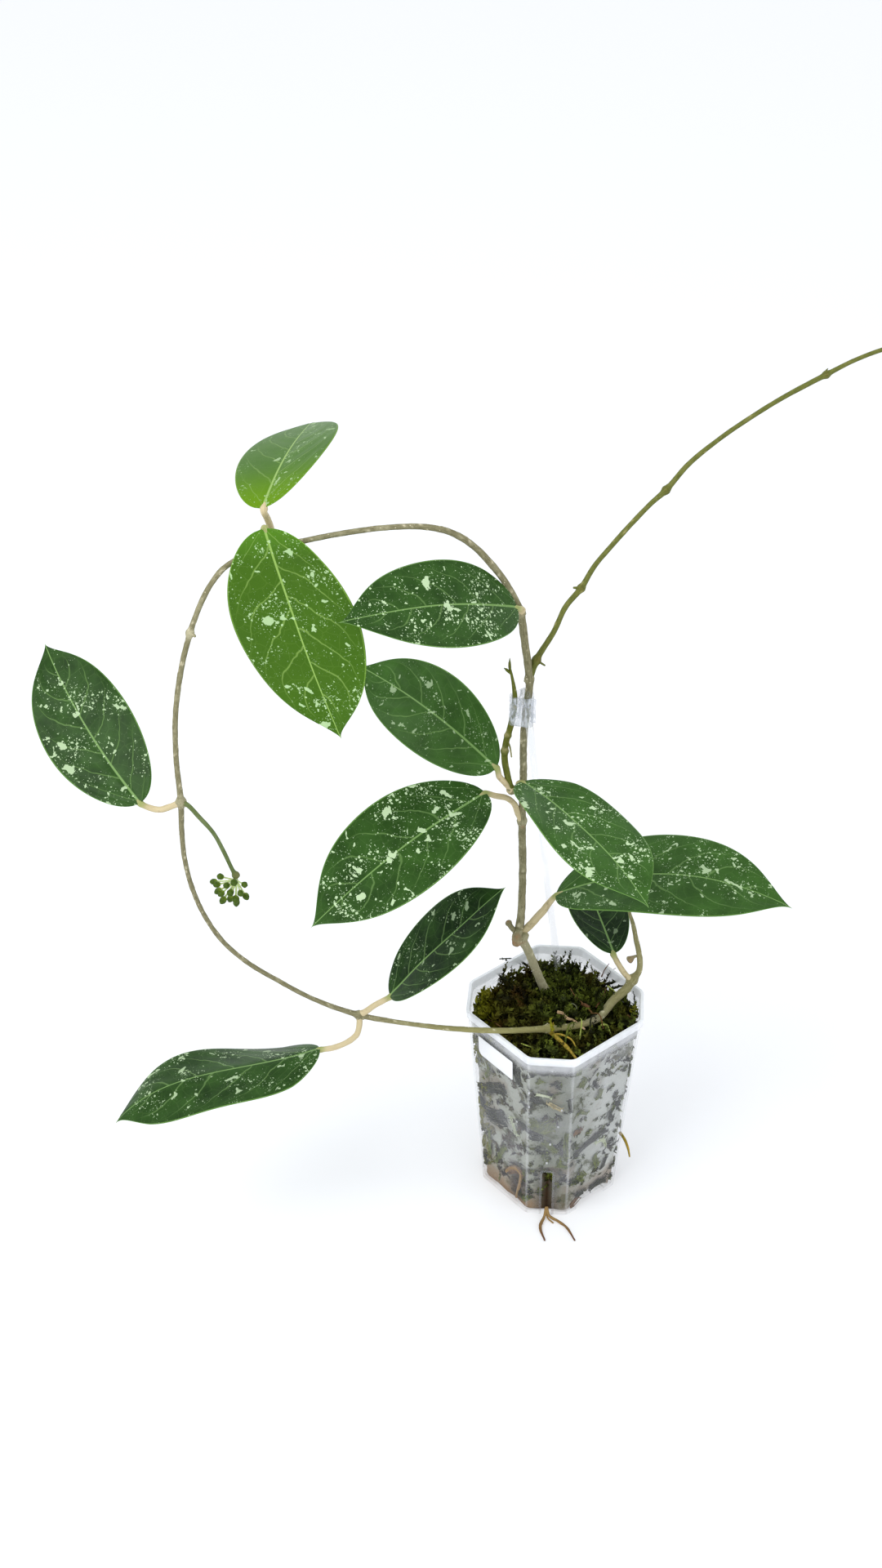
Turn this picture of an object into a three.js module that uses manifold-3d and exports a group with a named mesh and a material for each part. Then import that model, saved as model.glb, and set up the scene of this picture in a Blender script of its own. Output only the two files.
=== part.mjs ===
// A wax plant in a clear nursery pot. One woody vine rises from the moss, arches over to the left in a
// wide loop and comes back over the rim. Eleven leaves, an olive shoot, a bare runner and a bud cluster
// grow on it, and a clear rod with a tape tie holds it up.
// Millimetres, +Z up, the camera side is -Y. The origin is the centre of the pot's base, on the ground.

import * as THREE from 'three';
import { mergeGeometries, mergeVertices } from 'three/addons/utils/BufferGeometryUtils.js';
import Module from 'manifold-3d';

const wasm = await Module();
wasm.setup();

// Pot
const potHeight = 120;
const potTopWidth = 80;
const potBaseWidth = 66;
const potTopChamfer = 23.3;
const potBaseChamfer = 22;
const potTurn = THREE.MathUtils.degToRad(-4.9);
const potWall = 0.9;
const potFloor = 1.2;
const cornerRound = 2;
const rimHeight = 4.6;
const rimProud = 0.8;
const slotWidth = 5.5;
const slotHeight = 34;
const archWidth = 20;
const archHeight = 5.5;
const archDepth = 11;
const archCut = 2.5;

// What fills the pot
const seatGap = 0.3;
const mossEdge = 108;
const mossMound = 7;
const mossFronds = 36;
const frondLength = 11;
const frondRadius = 1.1;

// What is fixed to the pot and the vine
const labelSize = [26.5, 12.5, 0.25];
const labelHeight = 102;
const labelOffset = -2;
const rodRadius = 2;
const tapeWall = 0.5;
const tapeSpan = [294, 309];
// What the tape goes round at its height, x, y and radius, and where its loose tail stands.
const tapeHolds = [[-19, 1, 2.3], [-18.6, -4.2, 2.4], [-25.4, -3.2, 1.7]];
const tapeTail = [5, -14.6, -4.6];

// Blades
const bladeThickness = 0.8;
const midribDepth = 0.7;
const bladeRows = 12;
const bladeColumns = [-1, -0.93, -0.5, -0.07, 0, 0.07, 0.5, 0.93, 1];

// Routes: x, y, z and the radius there. The vine runs from its foot in the moss round the whole loop.
const vineRoute = [
  [-3, 17, 84, 2.2], [-4, 15.5, 100, 2.3], [-5, 14, 114, 2.3], [-10, 12, 131, 2.2], [-15, 11, 146, 2.2],
  [-19, 10, 156, 2.4], [-18.5, 10, 170, 2], [-18.5, 8, 202, 1.9], [-19.5, 6, 231, 1.9], [-19.5, 4, 257, 1.8],
  [-20, 2, 283, 1.8], [-19, 1, 302, 1.8], [-18, 0, 315, 1.8], [-20.5, -1, 337, 1.8], [-23.5, -3, 356, 1.9],
  [-30, -5, 372, 1.6], [-37.5, -7, 384, 1.6], [-45.5, -9, 394, 1.6], [-55, -12, 402, 1.6],
  [-66.5, -16, 407, 1.6], [-81, -20, 409, 1.6], [-95, -25, 410, 1.6], [-109, -29, 409.5, 1.6],
  [-123, -32, 408, 1.6], [-135, -34, 408, 1.8], [-145, -36, 403.5, 1.6], [-154, -38, 398, 1.6],
  [-161.5, -41, 388, 1.6], [-167, -44, 376, 1.6], [-172, -46, 360.5, 1.6], [-175.5, -48, 345, 1.6],
  [-178, -49, 328, 1.6], [-179, -50, 307, 1.6], [-178.5, -50, 283, 1.8], [-179.5, -48, 266, 1.6],
  [-179.5, -46, 247, 1.5], [-177.5, -44, 229, 1.5], [-173.5, -42, 212, 1.5], [-165.5, -39, 192, 1.5],
  [-154.5, -37, 177, 1.5], [-140, -35, 163.5, 1.5], [-122.5, -33, 149.5, 1.5], [-100.5, -31, 137.5, 1.8],
  [-76, -29, 130, 1.5], [-51, -28, 125.5, 1.5], [-32, -27.5, 124, 1.5], [-24, -26.5, 123, 1.5],
  [-15, -23.5, 121, 1.6], [-4, -19, 117.5, 1.9], [3.5, -18, 117.5, 1.8], [13, -16, 118, 1.8],
  [22, -11, 118, 1.9], [26, -5, 118.5, 2.2], [30, 1, 119.5, 2.3], [37, 5.5, 123.5, 2.3], [40, 7.5, 128, 2.2],
  [43, 7, 134, 1.6], [43.5, 8, 139, 1.5], [42.5, 9.5, 146, 1.4], [41, 11.5, 152, 1.3], [39.5, 14, 159, 1.1],
  [37.5, 16.5, 165, 0.8], [36.5, 19, 171, 0.4],
];
const footProng = [[-6, 13.5, 121, 1.4], [-2, 13, 113, 1.7], [1, 12, 103, 1.4]];
const spurRoute = [[-19.5, 4, 251, 1.8], [-22.5, 2, 253, 2], [-25.5, 0, 254.5, 2]];
const stubRoute = [[-19, 10, 156, 2], [-22.5, 9, 160.5, 1.4], [-25, 8, 165.5, 1.2]];
const knobRoute = [[43, 9.5, 142.5, 0.8], [40.5, 8.8, 142.5, 0.8], [38, 8, 141, 1.5]];
// Where leaves stand or stood the vine is swollen: x, y, z, radius.
const vineJoints = [
  [-19, 10, 156, 3.4], [-19.5, 6, 231.5, 2.4], [-25.5, 0, 254.5, 2.4], [-18, 0, 318, 2.3],
  [-23.5, -3, 356, 2.7],
  [-135, -34, 408, 2.4], [-168.5, -45, 370, 2.1], [-178.5, -50, 283, 2.7], [-100.5, -31, 137.5, 2.5],
  [-4, -19, 117.5, 2.6], [40, 7.5, 128, 3],
];

const shootRoute = [
  [-25.5, 0, 254.5, 1.5], [-27.5, -1, 264, 1.4], [-29, -1, 274, 1.4], [-28.5, -1.5, 283, 1.3],
  [-26.5, -2.5, 293, 1.3], [-25.5, -3, 300, 1.2], [-24.8, -3.8, 309, 1.1], [-25.5, -5, 317, 0.8],
  [-28, -5, 330, 0.3],
];
const shootJoints = [[-28.8, -1.2, 278, 1.9], [-28, -1.8, 287.5, 1.7]];
const shootRootlet = [[-28.5, -1.8, 286, 0.5], [-26.8, -4.6, 283, 0.45], [-25.8, -4.8, 277, 0.4]];

const runnerRoute = [
  [-18, 0, 318, 1.6], [-15, 2, 327, 1.5], [-7, 5, 341, 1.3], [-2, 8, 352, 1.3], [5, 10, 361, 1.4],
  [11, 13, 371, 1.2], [18, 16, 379, 1.2], [25, 19, 386.5, 1.2], [36, 24, 397, 1.2], [43, 27, 402.5, 1.3],
  [53, 32, 413, 1.2], [66, 37, 422.5, 1.1], [79, 42, 430, 1.1], [95, 48, 438, 1.1], [115.5, 55, 446.5, 1.2],
  [128, 59, 451.5, 1], [141, 63, 455, 1], [153, 67, 456.5, 0.8], [162, 70, 456, 0.5],
];
const runnerJoints = [[-15, 2, 327, 2.3], [5, 10, 361, 2], [43, 27, 402.5, 2.1], [115.5, 55, 446.5, 1.9]];
const runnerStubs = [
  [[5, 10, 361, 0.9], [1.5, 9.5, 361.5, 0.5]],
  [[-15, 2, 327, 0.7], [-11, 0.5, 325, 0.4]],
  [[162, 70, 456, 1], [166, 71.5, 457.5, 0.4]],
];

const rodEnds = [[5.5, 31.5, 92], [-19.8, -5.6, 313]];

const peduncleRoute = [
  [-178.5, -50, 283, 1.1], [-175.5, -52, 283, 1.1], [-169.5, -54, 276.5, 1.1], [-164, -56, 270, 1],
  [-160, -57, 261, 1], [-156, -58, 250, 1], [-154.5, -58, 246.5, 1.2],
];
const peduncleJoint = [-154.5, -58, 247, 1.5];
const umbel = {
  centre: [-154.5, -58, 244], axis: [-0.35, -0.9, -0.18], reach: 10.5, spread: 62, buds: 15,
};
const budSize = [1.5, 1.5, 1.85];
const pedicelRadius = 0.4;

const aerialCushion = [-2.3, -22.4, 117, 1.5];
const aerialRoutes = [
  [[-2.3, -22.4, 117, 1], [1.5, -27, 116.5, 1], [6, -33, 115.5, 0.9], [10, -38, 113, 0.6]],
  [[-2.3, -22.4, 117, 0.6], [2, -23.8, 118, 0.5], [7, -27, 117.5, 0.5], [9, -31, 116.5, 0.3]],
  [[-2.3, -22.4, 117, 0.7], [-3, -23.3, 120, 0.6], [-2.2, -22.5, 125, 0.3]],
];
const drainRoutes = [
  [[-2.9, -35.4, 5, 0.9], [-4, -38.8, 2, 0.8], [-6.5, -45.5, 1, 0.8], [-4.5, -55, 0.7, 0.5]],
  [[-2.9, -35.4, 5, 0.9], [-1.4, -38.8, 2.2, 0.8], [3.2, -41.5, 1, 0.8], [7.5, -46, 0.9, 0.7],
    [11.5, -55, 0.6, 0.4]],
  [[-2.9, -35.4, 5, 0.6], [-2.4, -39.3, 1.4, 0.5], [0.5, -42.5, 0.7, 0.4]],
];
const sideRootRoute = [[37.4, -3.2, 29, 0.8], [39.5, -5, 27, 0.8], [41.5, -9, 24, 0.7], [42.5, -13, 20.5, 0.4]];

// Leaves: the petiole's points from the stem to the blade's base, the tip, the way the upper side faces,
// the width, then how far the midrib arches, bends aside and droops late, how far the margins lift, how
// far the blade twists from base to tip (degrees) and how much its margins wave.
const leaves = [
  { petiole: [[-135, -34, 408], [-132.5, -33, 414], [-133.5, -35, 421], [-135, -38, 428]],
    tip: [-119, 54, 423], faces: [-0.28, 0.11, 0.96],
    width: 44, arch: 9, bend: -2.6, droop: 0.4, lift: 2, wave: 0.4 },
  { petiole: [[-135, -34, 408], [-136, -38, 411.5], [-135.5, -42, 417], [-134, -46, 422.5]],
    tip: [-104, -52.5, 319.5], faces: [-0.24, -0.97, -0.01],
    width: 58, arch: -2.4, bend: -2.6, lift: 1.2, wave: 1.2 },
  { petiole: [[-23.5, -3, 356], [-22.5, -6, 359], [-25, -9, 362]],
    tip: [-103, -64, 387], faces: [0.54, -0.36, 0.76],
    width: 43, arch: 6.8, bend: -0.8, lift: 2.3, twist: 5, wave: 1 },
  { petiole: [[-25.5, 0, 254.5], [-29, -2, 260.5], [-31.5, -3, 264.5], [-33, -4, 270]],
    tip: [-100, 56, 290], faces: [-0.37, -0.64, 0.68],
    width: 42, arch: 2.6, bend: -3.2, lift: 3.4, wave: 0.8 },
  { petiole: [[-19.5, 6, 231.5], [-21.5, 5, 236], [-23.5, 3, 243.5],
      [-27.5, 0, 249.5], [-33, -3, 253], [-38, -6, 257]],
    tip: [-120, -71, 226], faces: [0.05, -0.5, 0.87],
    width: 51, arch: 3.5, bend: -2.5, lift: 5, twist: -9, wave: 0.8 },
  { petiole: [[-100.5, -31, 137.5], [-97, -31, 140], [-92, -31, 144.5], [-85, -30, 149.5]],
    tip: [-28, -22, 212], faces: [-0.67, -0.36, 0.65],
    width: 40, arch: 1.7, lift: 3, twist: 8, wave: 0.6 },
  { petiole: [[-100.5, -31, 137.5], [-100.5, -33, 133], [-102, -34, 127],
      [-107.5, -34, 121.5], [-114.5, -34, 118], [-121, -33, 117]],
    tip: [-224, -58, 89], faces: [-0.28, 0.06, 0.96],
    width: 54, arch: 11, bend: 3.8, droop: 0.8, lift: -4.7, twist: -8, wave: 0.6 },
  { petiole: [[-178.5, -50, 283], [-184.5, -50, 280], [-189.5, -49, 278], [-197.5, -48, 281]],
    tip: [-247.5, 23.5, 323], faces: [-0.16, -0.58, 0.8],
    width: 44, arch: 1.4, bend: 3.3, lift: 1.3, wave: 0.8 },
  { petiole: [[-19.5, 4, 252], [-21.5, -0.5, 257], [-22, -4, 261], [-20.5, -6, 263.5]],
    tip: [35, -85, 249], faces: [0.16, -0.07, 0.98],
    width: 47, arch: 3.4, bend: 3.1, lift: 2.5, twist: 4, wave: 2 },
  { petiole: [[-19, 10, 156], [-14.5, 9, 162.5], [-8, 7, 173.5], [-1.5, 6, 185.5]],
    tip: [113, -21, 198], faces: [-0.14, -0.12, 0.98],
    width: 57, arch: 10.4, bend: 8.1, lift: 1.4, wave: 1.2 },
  { petiole: [[40, 7.5, 128], [37, 7, 131], [34, 9, 134.5], [30, 12, 142]],
    tip: [15, 82, 144.5], faces: [0.01, -0.04, 1],
    width: 31, arch: 1.9, lift: 2.7, twist: 3, wave: 0.5 },
];
const petioleRadius = 1.55;
// Where the petiole meets the blade and runs out under its midrib: share of the length, drop, radius.
const petioleEnd = [[0, 1.2, 1.3], [0.08, 0.9, 0.5]];

const finishes = {
  plastic: { color: 0xb9c0cc, roughness: 0.25, metalness: 0 },
  moss: { color: 0x3a3d14, roughness: 0.95, metalness: 0 },
  label: { color: 0xf4f5f6, roughness: 0.6, metalness: 0 },
  acrylic: { color: 0xdfe6ee, roughness: 0.1, metalness: 0 },
  bark: { color: 0x8a8062, roughness: 0.85, metalness: 0 },
  shoot: { color: 0x6a7a24, roughness: 0.6, metalness: 0 },
  runner: { color: 0x6f6b2c, roughness: 0.7, metalness: 0 },
  leaf: { color: 0x2f5a26, roughness: 0.4, metalness: 0 },
  youngLeaf: { color: 0x4f8a1f, roughness: 0.4, metalness: 0 },
  peduncle: { color: 0x6f8250, roughness: 0.6, metalness: 0 },
  bud: { color: 0x5a7320, roughness: 0.5, metalness: 0 },
  root: { color: 0xb98a3a, roughness: 0.8, metalness: 0 },
};

const plant = new THREE.Group();

// Joining and cutting

function solidOf(geometry) {
  geometry.deleteAttribute('normal');
  geometry.deleteAttribute('uv');
  const merged = mergeVertices(geometry, 1e-4);
  const corners = merged.index.array;
  const triVerts = [];
  for (let i = 0; i < corners.length; i += 3) {
    const [a, b, c] = [corners[i], corners[i + 1], corners[i + 2]];
    if (a !== b && b !== c && c !== a) triVerts.push(a, b, c);
  }
  return new wasm.Manifold(new wasm.Mesh({
    numProp: 3,
    vertProperties: new Float32Array(merged.attributes.position.array),
    triVerts: new Uint32Array(triVerts),
  }));
}

function joined(solids) {
  return solids.reduce((whole, solid) => whole.add(solid));
}

// A cut may leave loose scraps: only the largest body is kept.
function largest(solid) {
  return solid.decompose().reduce((best, body) => (body.volume() > best.volume() ? body : best));
}

function addPiece(name, solid, finish) {
  const mesh = solid.getMesh();
  const geometry = new THREE.BufferGeometry();
  geometry.setAttribute('position', new THREE.BufferAttribute(new Float32Array(mesh.vertProperties), 3));
  geometry.setIndex(new THREE.BufferAttribute(new Uint32Array(mesh.triVerts), 1));
  geometry.computeVertexNormals();
  const piece = new THREE.Mesh(geometry, new THREE.MeshStandardMaterial(finishes[finish]));
  piece.name = name;
  plant.add(piece);
  return piece;
}

// Shapes

// A round rod along a smooth route. Each ring of the extruded unit circle is drawn out to the radius there.
function rod(route, grow = 0, sides = 8, step = 7) {
  const curve = new THREE.CatmullRomCurve3(route.map(([x, y, z]) => new THREE.Vector3(x, y, z)));
  curve.arcLengthDivisions = route.length * 40;
  const steps = Math.max(1, Math.round(curve.getLength() / step));
  const circle = [];
  for (let i = 0; i < sides; i += 1) {
    const turn = (i / sides) * 2 * Math.PI;
    circle.push(new THREE.Vector2(Math.cos(turn), Math.sin(turn)));
  }
  const geometry = new THREE.ExtrudeGeometry(new THREE.Shape(circle), {
    extrudePath: curve, steps, bevelEnabled: false,
  });
  const centres = curve.getSpacedPoints(steps);
  const radii = centres.map((_, i) => {
    const place = curve.getUtoTmapping(i / steps) * (route.length - 1);
    const before = Math.min(Math.floor(place), route.length - 2);
    return THREE.MathUtils.lerp(route[before][3], route[before + 1][3], place - before) + grow;
  });
  const position = geometry.attributes.position;
  const point = new THREE.Vector3();
  for (let i = 0; i < position.count; i += 1) {
    point.fromBufferAttribute(position, i);
    const misses = centres.map((centre) => Math.abs(centre.distanceTo(point) - 1));
    const ring = misses.indexOf(Math.min(...misses));
    point.sub(centres[ring]).multiplyScalar(radii[ring]).add(centres[ring]);
    position.setXYZ(i, point.x, point.y, point.z);
  }
  return solidOf(geometry);
}

function ball([x, y, z, radius], grow = 0) {
  const geometry = new THREE.SphereGeometry(radius + grow, 7, 5);
  geometry.translate(x, y, z);
  return solidOf(geometry);
}

// A closed body whose rings follow the given outlines, from the lowest level to the highest.
function loft(levels) {
  const sides = levels[0].length;
  const geometry = new THREE.CylinderGeometry(1, 1, 1, sides, levels.length - 1);
  const position = geometry.attributes.position;
  for (let i = 0; i < position.count; i += 1) {
    const level = levels[Math.round((position.getY(i) + 0.5) * (levels.length - 1))];
    const [x, z] = [position.getX(i), position.getZ(i)];
    const turn = Math.atan2(x, z) / (2 * Math.PI);
    const point = new THREE.Vector3();
    if (Math.hypot(x, z) < 0.5) level.forEach((corner) => point.addScaledVector(corner, 1 / sides));
    else point.copy(level[Math.round((turn + 1) * sides) % sides]);
    position.setXYZ(i, point.x, point.y, point.z);
  }
  return solidOf(geometry);
}

// Pot

function potWidth(z) {
  return THREE.MathUtils.lerp(potBaseWidth, potTopWidth, z / potHeight);
}

function potChamfer(z) {
  return THREE.MathUtils.lerp(potBaseChamfer, potTopChamfer, z / potHeight);
}

// The distance of a cut corner from the pot's axis.
function chamferDistance(z) {
  return potWidth(z) / Math.SQRT2 - potChamfer(z) / 2;
}

// The pot's outline at a height, moved outwards by grow, with a softened corner where two sides meet.
function potRing(z, grow = 0, perEdge = 1) {
  const side = potWidth(z) / 2 + grow;
  const cut = chamferDistance(z) + grow;
  const chamfer = 2 * (side * Math.SQRT2 - cut);
  const corners = [];
  for (let quarter = 0; quarter < 4; quarter += 1) {
    for (const across of [-chamfer / 2, chamfer / 2]) {
      const corner = new THREE.Vector3(cut, across, z);
      corners.push(corner.applyAxisAngle(new THREE.Vector3(0, 0, 1), (quarter * Math.PI) / 2 + potTurn));
    }
  }
  const ring = [];
  corners.forEach((corner, i) => {
    const before = corners[(i + 7) % 8];
    const after = corners[(i + 1) % 8];
    const start = corner.clone().add(before.clone().sub(corner).setLength(cornerRound));
    const end = corner.clone().add(after.clone().sub(corner).setLength(cornerRound));
    const middle = start.clone().add(end).multiplyScalar(0.25).addScaledVector(corner, 0.5);
    const next = after.clone().add(corner.clone().sub(after).setLength(cornerRound));
    ring.push(start, middle, end);
    for (let k = 1; k < perEdge; k += 1) ring.push(end.clone().lerp(next, k / perEdge));
  });
  return ring;
}

function blockAt(size, angle, distance, z) {
  const geometry = new THREE.BoxGeometry(...size);
  geometry.translate(distance, 0, z);
  geometry.rotateZ(angle + potTurn);
  return solidOf(geometry);
}

// The foot's two arches: a flat-topped niche under the middle of two opposite walls.
function archNiche(angle, grow) {
  const half = archWidth / 2 + grow;
  const height = archHeight + grow;
  const outline = new THREE.Shape([
    new THREE.Vector2(-half, -1), new THREE.Vector2(half, -1), new THREE.Vector2(half, height - archCut),
    new THREE.Vector2(half - archCut, height), new THREE.Vector2(archCut - half, height),
    new THREE.Vector2(-half, height - archCut),
  ]);
  const inner = potBaseWidth / 2 - archDepth - grow;
  const geometry = new THREE.ExtrudeGeometry(outline, { depth: archDepth + 12, bevelEnabled: false });
  geometry.rotateX(Math.PI / 2);
  geometry.rotateZ(Math.PI / 2);
  geometry.translate(inner, 0, 0);
  geometry.rotateZ(angle + potTurn);
  return solidOf(geometry);
}

const archAngles = [-Math.PI / 4, (3 * Math.PI) / 4];

function archNiches(grow = 0) {
  return joined(archAngles.map((angle) => archNiche(angle, grow)));
}

function makePot() {
  const rimFoot = potHeight - rimHeight;
  const collar = [potRing(rimFoot + 0.5, rimProud), potRing(potHeight, rimProud)];
  const outer = loft([potRing(0), potRing(rimFoot), ...collar]);
  const inner = loft([potRing(potFloor, -potWall), potRing(potHeight + 1, -potWall)]);
  let pot = outer.subtract(inner.subtract(archNiches(potWall))).subtract(archNiches());
  for (let quarter = 0; quarter < 4; quarter += 1) {
    const place = [(quarter * Math.PI) / 2, chamferDistance(slotHeight / 2), slotHeight / 2 - 1];
    pot = pot.subtract(blockAt([8, slotWidth, slotHeight + 2], ...place));
  }
  return pot;
}

// Moss and the root ball

// A repeatable draw between 0 and 1.
function seededDraw(seed) {
  let state = seed;
  return () => {
    state = (state * 16807) % 2147483647;
    return state / 2147483647;
  };
}

function mossTop(x, y, inward) {
  const swell = 1.3 * Math.sin(0.42 * x + 1) * Math.cos(0.36 * y) + 0.9 * Math.sin(0.83 * x - 0.7 * y + 2);
  return mossEdge + mossMound * Math.sin(inward * Math.PI * 0.5) + swell * Math.min(1, inward * 4);
}

function makeMoss(clearances) {
  const inset = -potWall - seatGap;
  const levels = [potRing(potFloor + seatGap, inset, 2), potRing(55, inset, 2), potRing(mossEdge, inset, 2)];
  for (const share of [0.93, 0.82, 0.68, 0.52, 0.35, 0.16]) {
    levels.push(potRing(mossEdge, inset, 2).map((corner) => {
      const [x, y] = [corner.x * share, corner.y * share];
      return new THREE.Vector3(x, y, mossTop(x, y, 1 - share));
    }));
  }
  const draw = seededDraw(41);
  const fronds = [];
  for (let i = 0; i < mossFronds; i += 1) {
    const turn = draw() * 2 * Math.PI;
    const share = Math.sqrt(draw()) * 0.74;
    const [x, y] = [share * 42 * Math.cos(turn), share * 42 * Math.sin(turn)];
    const frond = new THREE.ConeGeometry(frondRadius, frondLength, 4);
    frond.translate(0, frondLength / 2 - 3, 0);
    frond.rotateX(Math.PI / 2);
    frond.rotateY((draw() - 0.5) * 1.6);
    frond.rotateZ(draw() * 2 * Math.PI);
    frond.translate(x, y, mossTop(x, y, 1 - share) - 0.5);
    fronds.push(solidOf(frond));
  }
  let moss = joined([loft(levels), ...fronds]);
  for (const clearance of [archNiches(potWall + seatGap), ...clearances]) moss = moss.subtract(clearance);
  return largest(moss);
}

// Blades

// Half the width along a blade, as a share of its greatest: blunt at the base, drawn to a point at the tip.
function bladeProfile(s) {
  return Math.sin(Math.PI * s ** 0.95) ** 0.55 * (1 - s ** 12) ** 1.4;
}

function bladePoint(leaf, s, q, side) {
  const base = new THREE.Vector3(...leaf.petiole.at(-1));
  const tip = new THREE.Vector3(...leaf.tip);
  const along = tip.clone().sub(base).normalize();
  const face = new THREE.Vector3(...leaf.faces);
  face.addScaledVector(along, -face.dot(along)).normalize();
  const aside = face.clone().cross(along);
  const twist = THREE.MathUtils.degToRad(leaf.twist ?? 0) * (2 * s - 1);
  const up = face.clone().applyAxisAngle(along, twist);
  const across = up.clone().cross(along);
  const bow = 4 * s * (1 - s);
  const halfWidth = (leaf.width / 2) * bladeProfile(s);
  const lean = Math.atan2(leaf.lift, leaf.width / 2);
  const edge = Math.min(1, 6 * s, 6 * (1 - s));
  const ripple = leaf.wave * Math.sin(8.2 * s - 0.5 + (q > 0 ? 1.2 : 0)) * q * q * edge;
  const taper = Math.min(1, 30 * s, 30 * (1 - s));
  const full = bladeThickness * Math.sqrt(Math.max(0, 1 - Math.abs(q) ** 14)) * taper;
  const rib = side < 0 && Math.abs(q) < 0.05 ? midribDepth * (1 - s) * Math.min(1, 20 * s) : 0;
  return base.lerp(tip, s)
    .addScaledVector(face, leaf.arch * bow * (1 + (leaf.droop ?? 0) * (2 * s - 1)))
    .addScaledVector(aside, (leaf.bend ?? 0) * bow)
    .addScaledVector(across, halfWidth * q * Math.cos(lean))
    .addScaledVector(up, halfWidth * Math.abs(q) * Math.sin(lean) + ripple + side * (full / 2 + rib));
}

// Both faces are the same grid, so that they are split into triangles alike.
function bladeSide(leaf, side) {
  const columns = bladeColumns.length - 1;
  const geometry = new THREE.PlaneGeometry(1, 1, columns, bladeRows);
  const position = geometry.attributes.position;
  for (let i = 0; i < position.count; i += 1) {
    const q = bladeColumns[Math.round((position.getX(i) + 0.5) * columns)];
    const s = 0.004 + 0.992 * (position.getY(i) + 0.5);
    const ends = s < 0.005 || s > 0.995;
    const point = bladePoint(leaf, s, q, ends || Math.abs(q) === 1 ? 0 : side);
    position.setXYZ(i, point.x, point.y, point.z);
  }
  if (side > 0) geometry.index.array.reverse();
  return geometry;
}

function makeLeaf(leaf, clearances) {
  const blade = solidOf(mergeGeometries([bladeSide(leaf, 1), bladeSide(leaf, -1)]));
  const face = new THREE.Vector3(...leaf.faces);
  const stalk = leaf.petiole.slice(0, -1).map((spot) => [...spot, petioleRadius]);
  for (const [s, drop, radius] of petioleEnd) {
    const { x, y, z } = bladePoint(leaf, s, 0, 0).addScaledVector(face, -drop);
    stalk.push([x, y, z, radius]);
  }
  let solid = blade.add(rod(stalk, 0, 6, 5));
  for (const clearance of clearances) solid = solid.subtract(clearance);
  return largest(solid);
}

// Bud cluster

function makeBuds(clearances) {
  const draw = seededDraw(11);
  const centre = new THREE.Vector3(...umbel.centre);
  const turnToAxis = new THREE.Quaternion().setFromUnitVectors(
    new THREE.Vector3(0, 0, 1), new THREE.Vector3(...umbel.axis).normalize());
  const pieces = [ball([...umbel.centre, 1.3])];
  for (let i = 0; i < umbel.buds; i += 1) {
    const lean = THREE.MathUtils.degToRad(umbel.spread) * Math.sqrt((i + 0.5) / umbel.buds);
    const turn = i * 2.39996 + 0.435;
    const aside = Math.sin(lean);
    const way = new THREE.Vector3(aside * Math.cos(turn), aside * Math.sin(turn), Math.cos(lean));
    way.applyQuaternion(turnToAxis);
    const reach = umbel.reach * (0.86 + 0.2 * draw());
    const end = centre.clone().addScaledVector(way, reach);
    pieces.push(rod([centre, end].map(({ x, y, z }) => [x, y, z, pedicelRadius]), 0, 3, reach));
    const bud = new THREE.SphereGeometry(1, 6, 4);
    bud.rotateX(Math.PI / 2);
    bud.scale(...budSize);
    bud.applyQuaternion(new THREE.Quaternion().setFromUnitVectors(new THREE.Vector3(0, 0, 1), way));
    bud.translate(end.x, end.y, end.z);
    pieces.push(solidOf(bud));
  }
  let cluster = joined(pieces);
  for (const clearance of clearances) cluster = cluster.subtract(clearance);
  return largest(cluster);
}

// The label lies flat on the left front wall, which leans out towards the rim.
function addLabel() {
  const [width, height, thickness] = labelSize;
  const [right, top, round] = [width / 2, height / 2, 3];
  const outline = new THREE.Shape();
  outline.moveTo(right, -top);
  outline.lineTo(right, top);
  outline.lineTo(-right, top);
  outline.lineTo(-right, round - top);
  outline.absarc(round - right, round - top, round, Math.PI, 1.5 * Math.PI, false);
  const sheet = { depth: thickness, bevelEnabled: false, curveSegments: 4 };
  const sticker = new THREE.ExtrudeGeometry(outline, sheet);
  const label = addPiece('label', solidOf(sticker), 'label');
  const turn = (-3 * Math.PI) / 4 + potTurn;
  const outward = new THREE.Vector3(Math.cos(turn), Math.sin(turn), 0);
  const along = new THREE.Vector3(-Math.sin(turn), Math.cos(turn), 0);
  const slope = (potTopWidth - potBaseWidth) / 2 / potHeight;
  label.position.copy(outward).multiplyScalar(potWidth(labelHeight) / 2 + seatGap);
  label.position.addScaledVector(along, labelOffset).setZ(labelHeight);
  label.up.set(0, 0, 1);
  label.lookAt(label.position.clone().add(outward).add(new THREE.Vector3(0, 0, -slope)));
}

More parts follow.
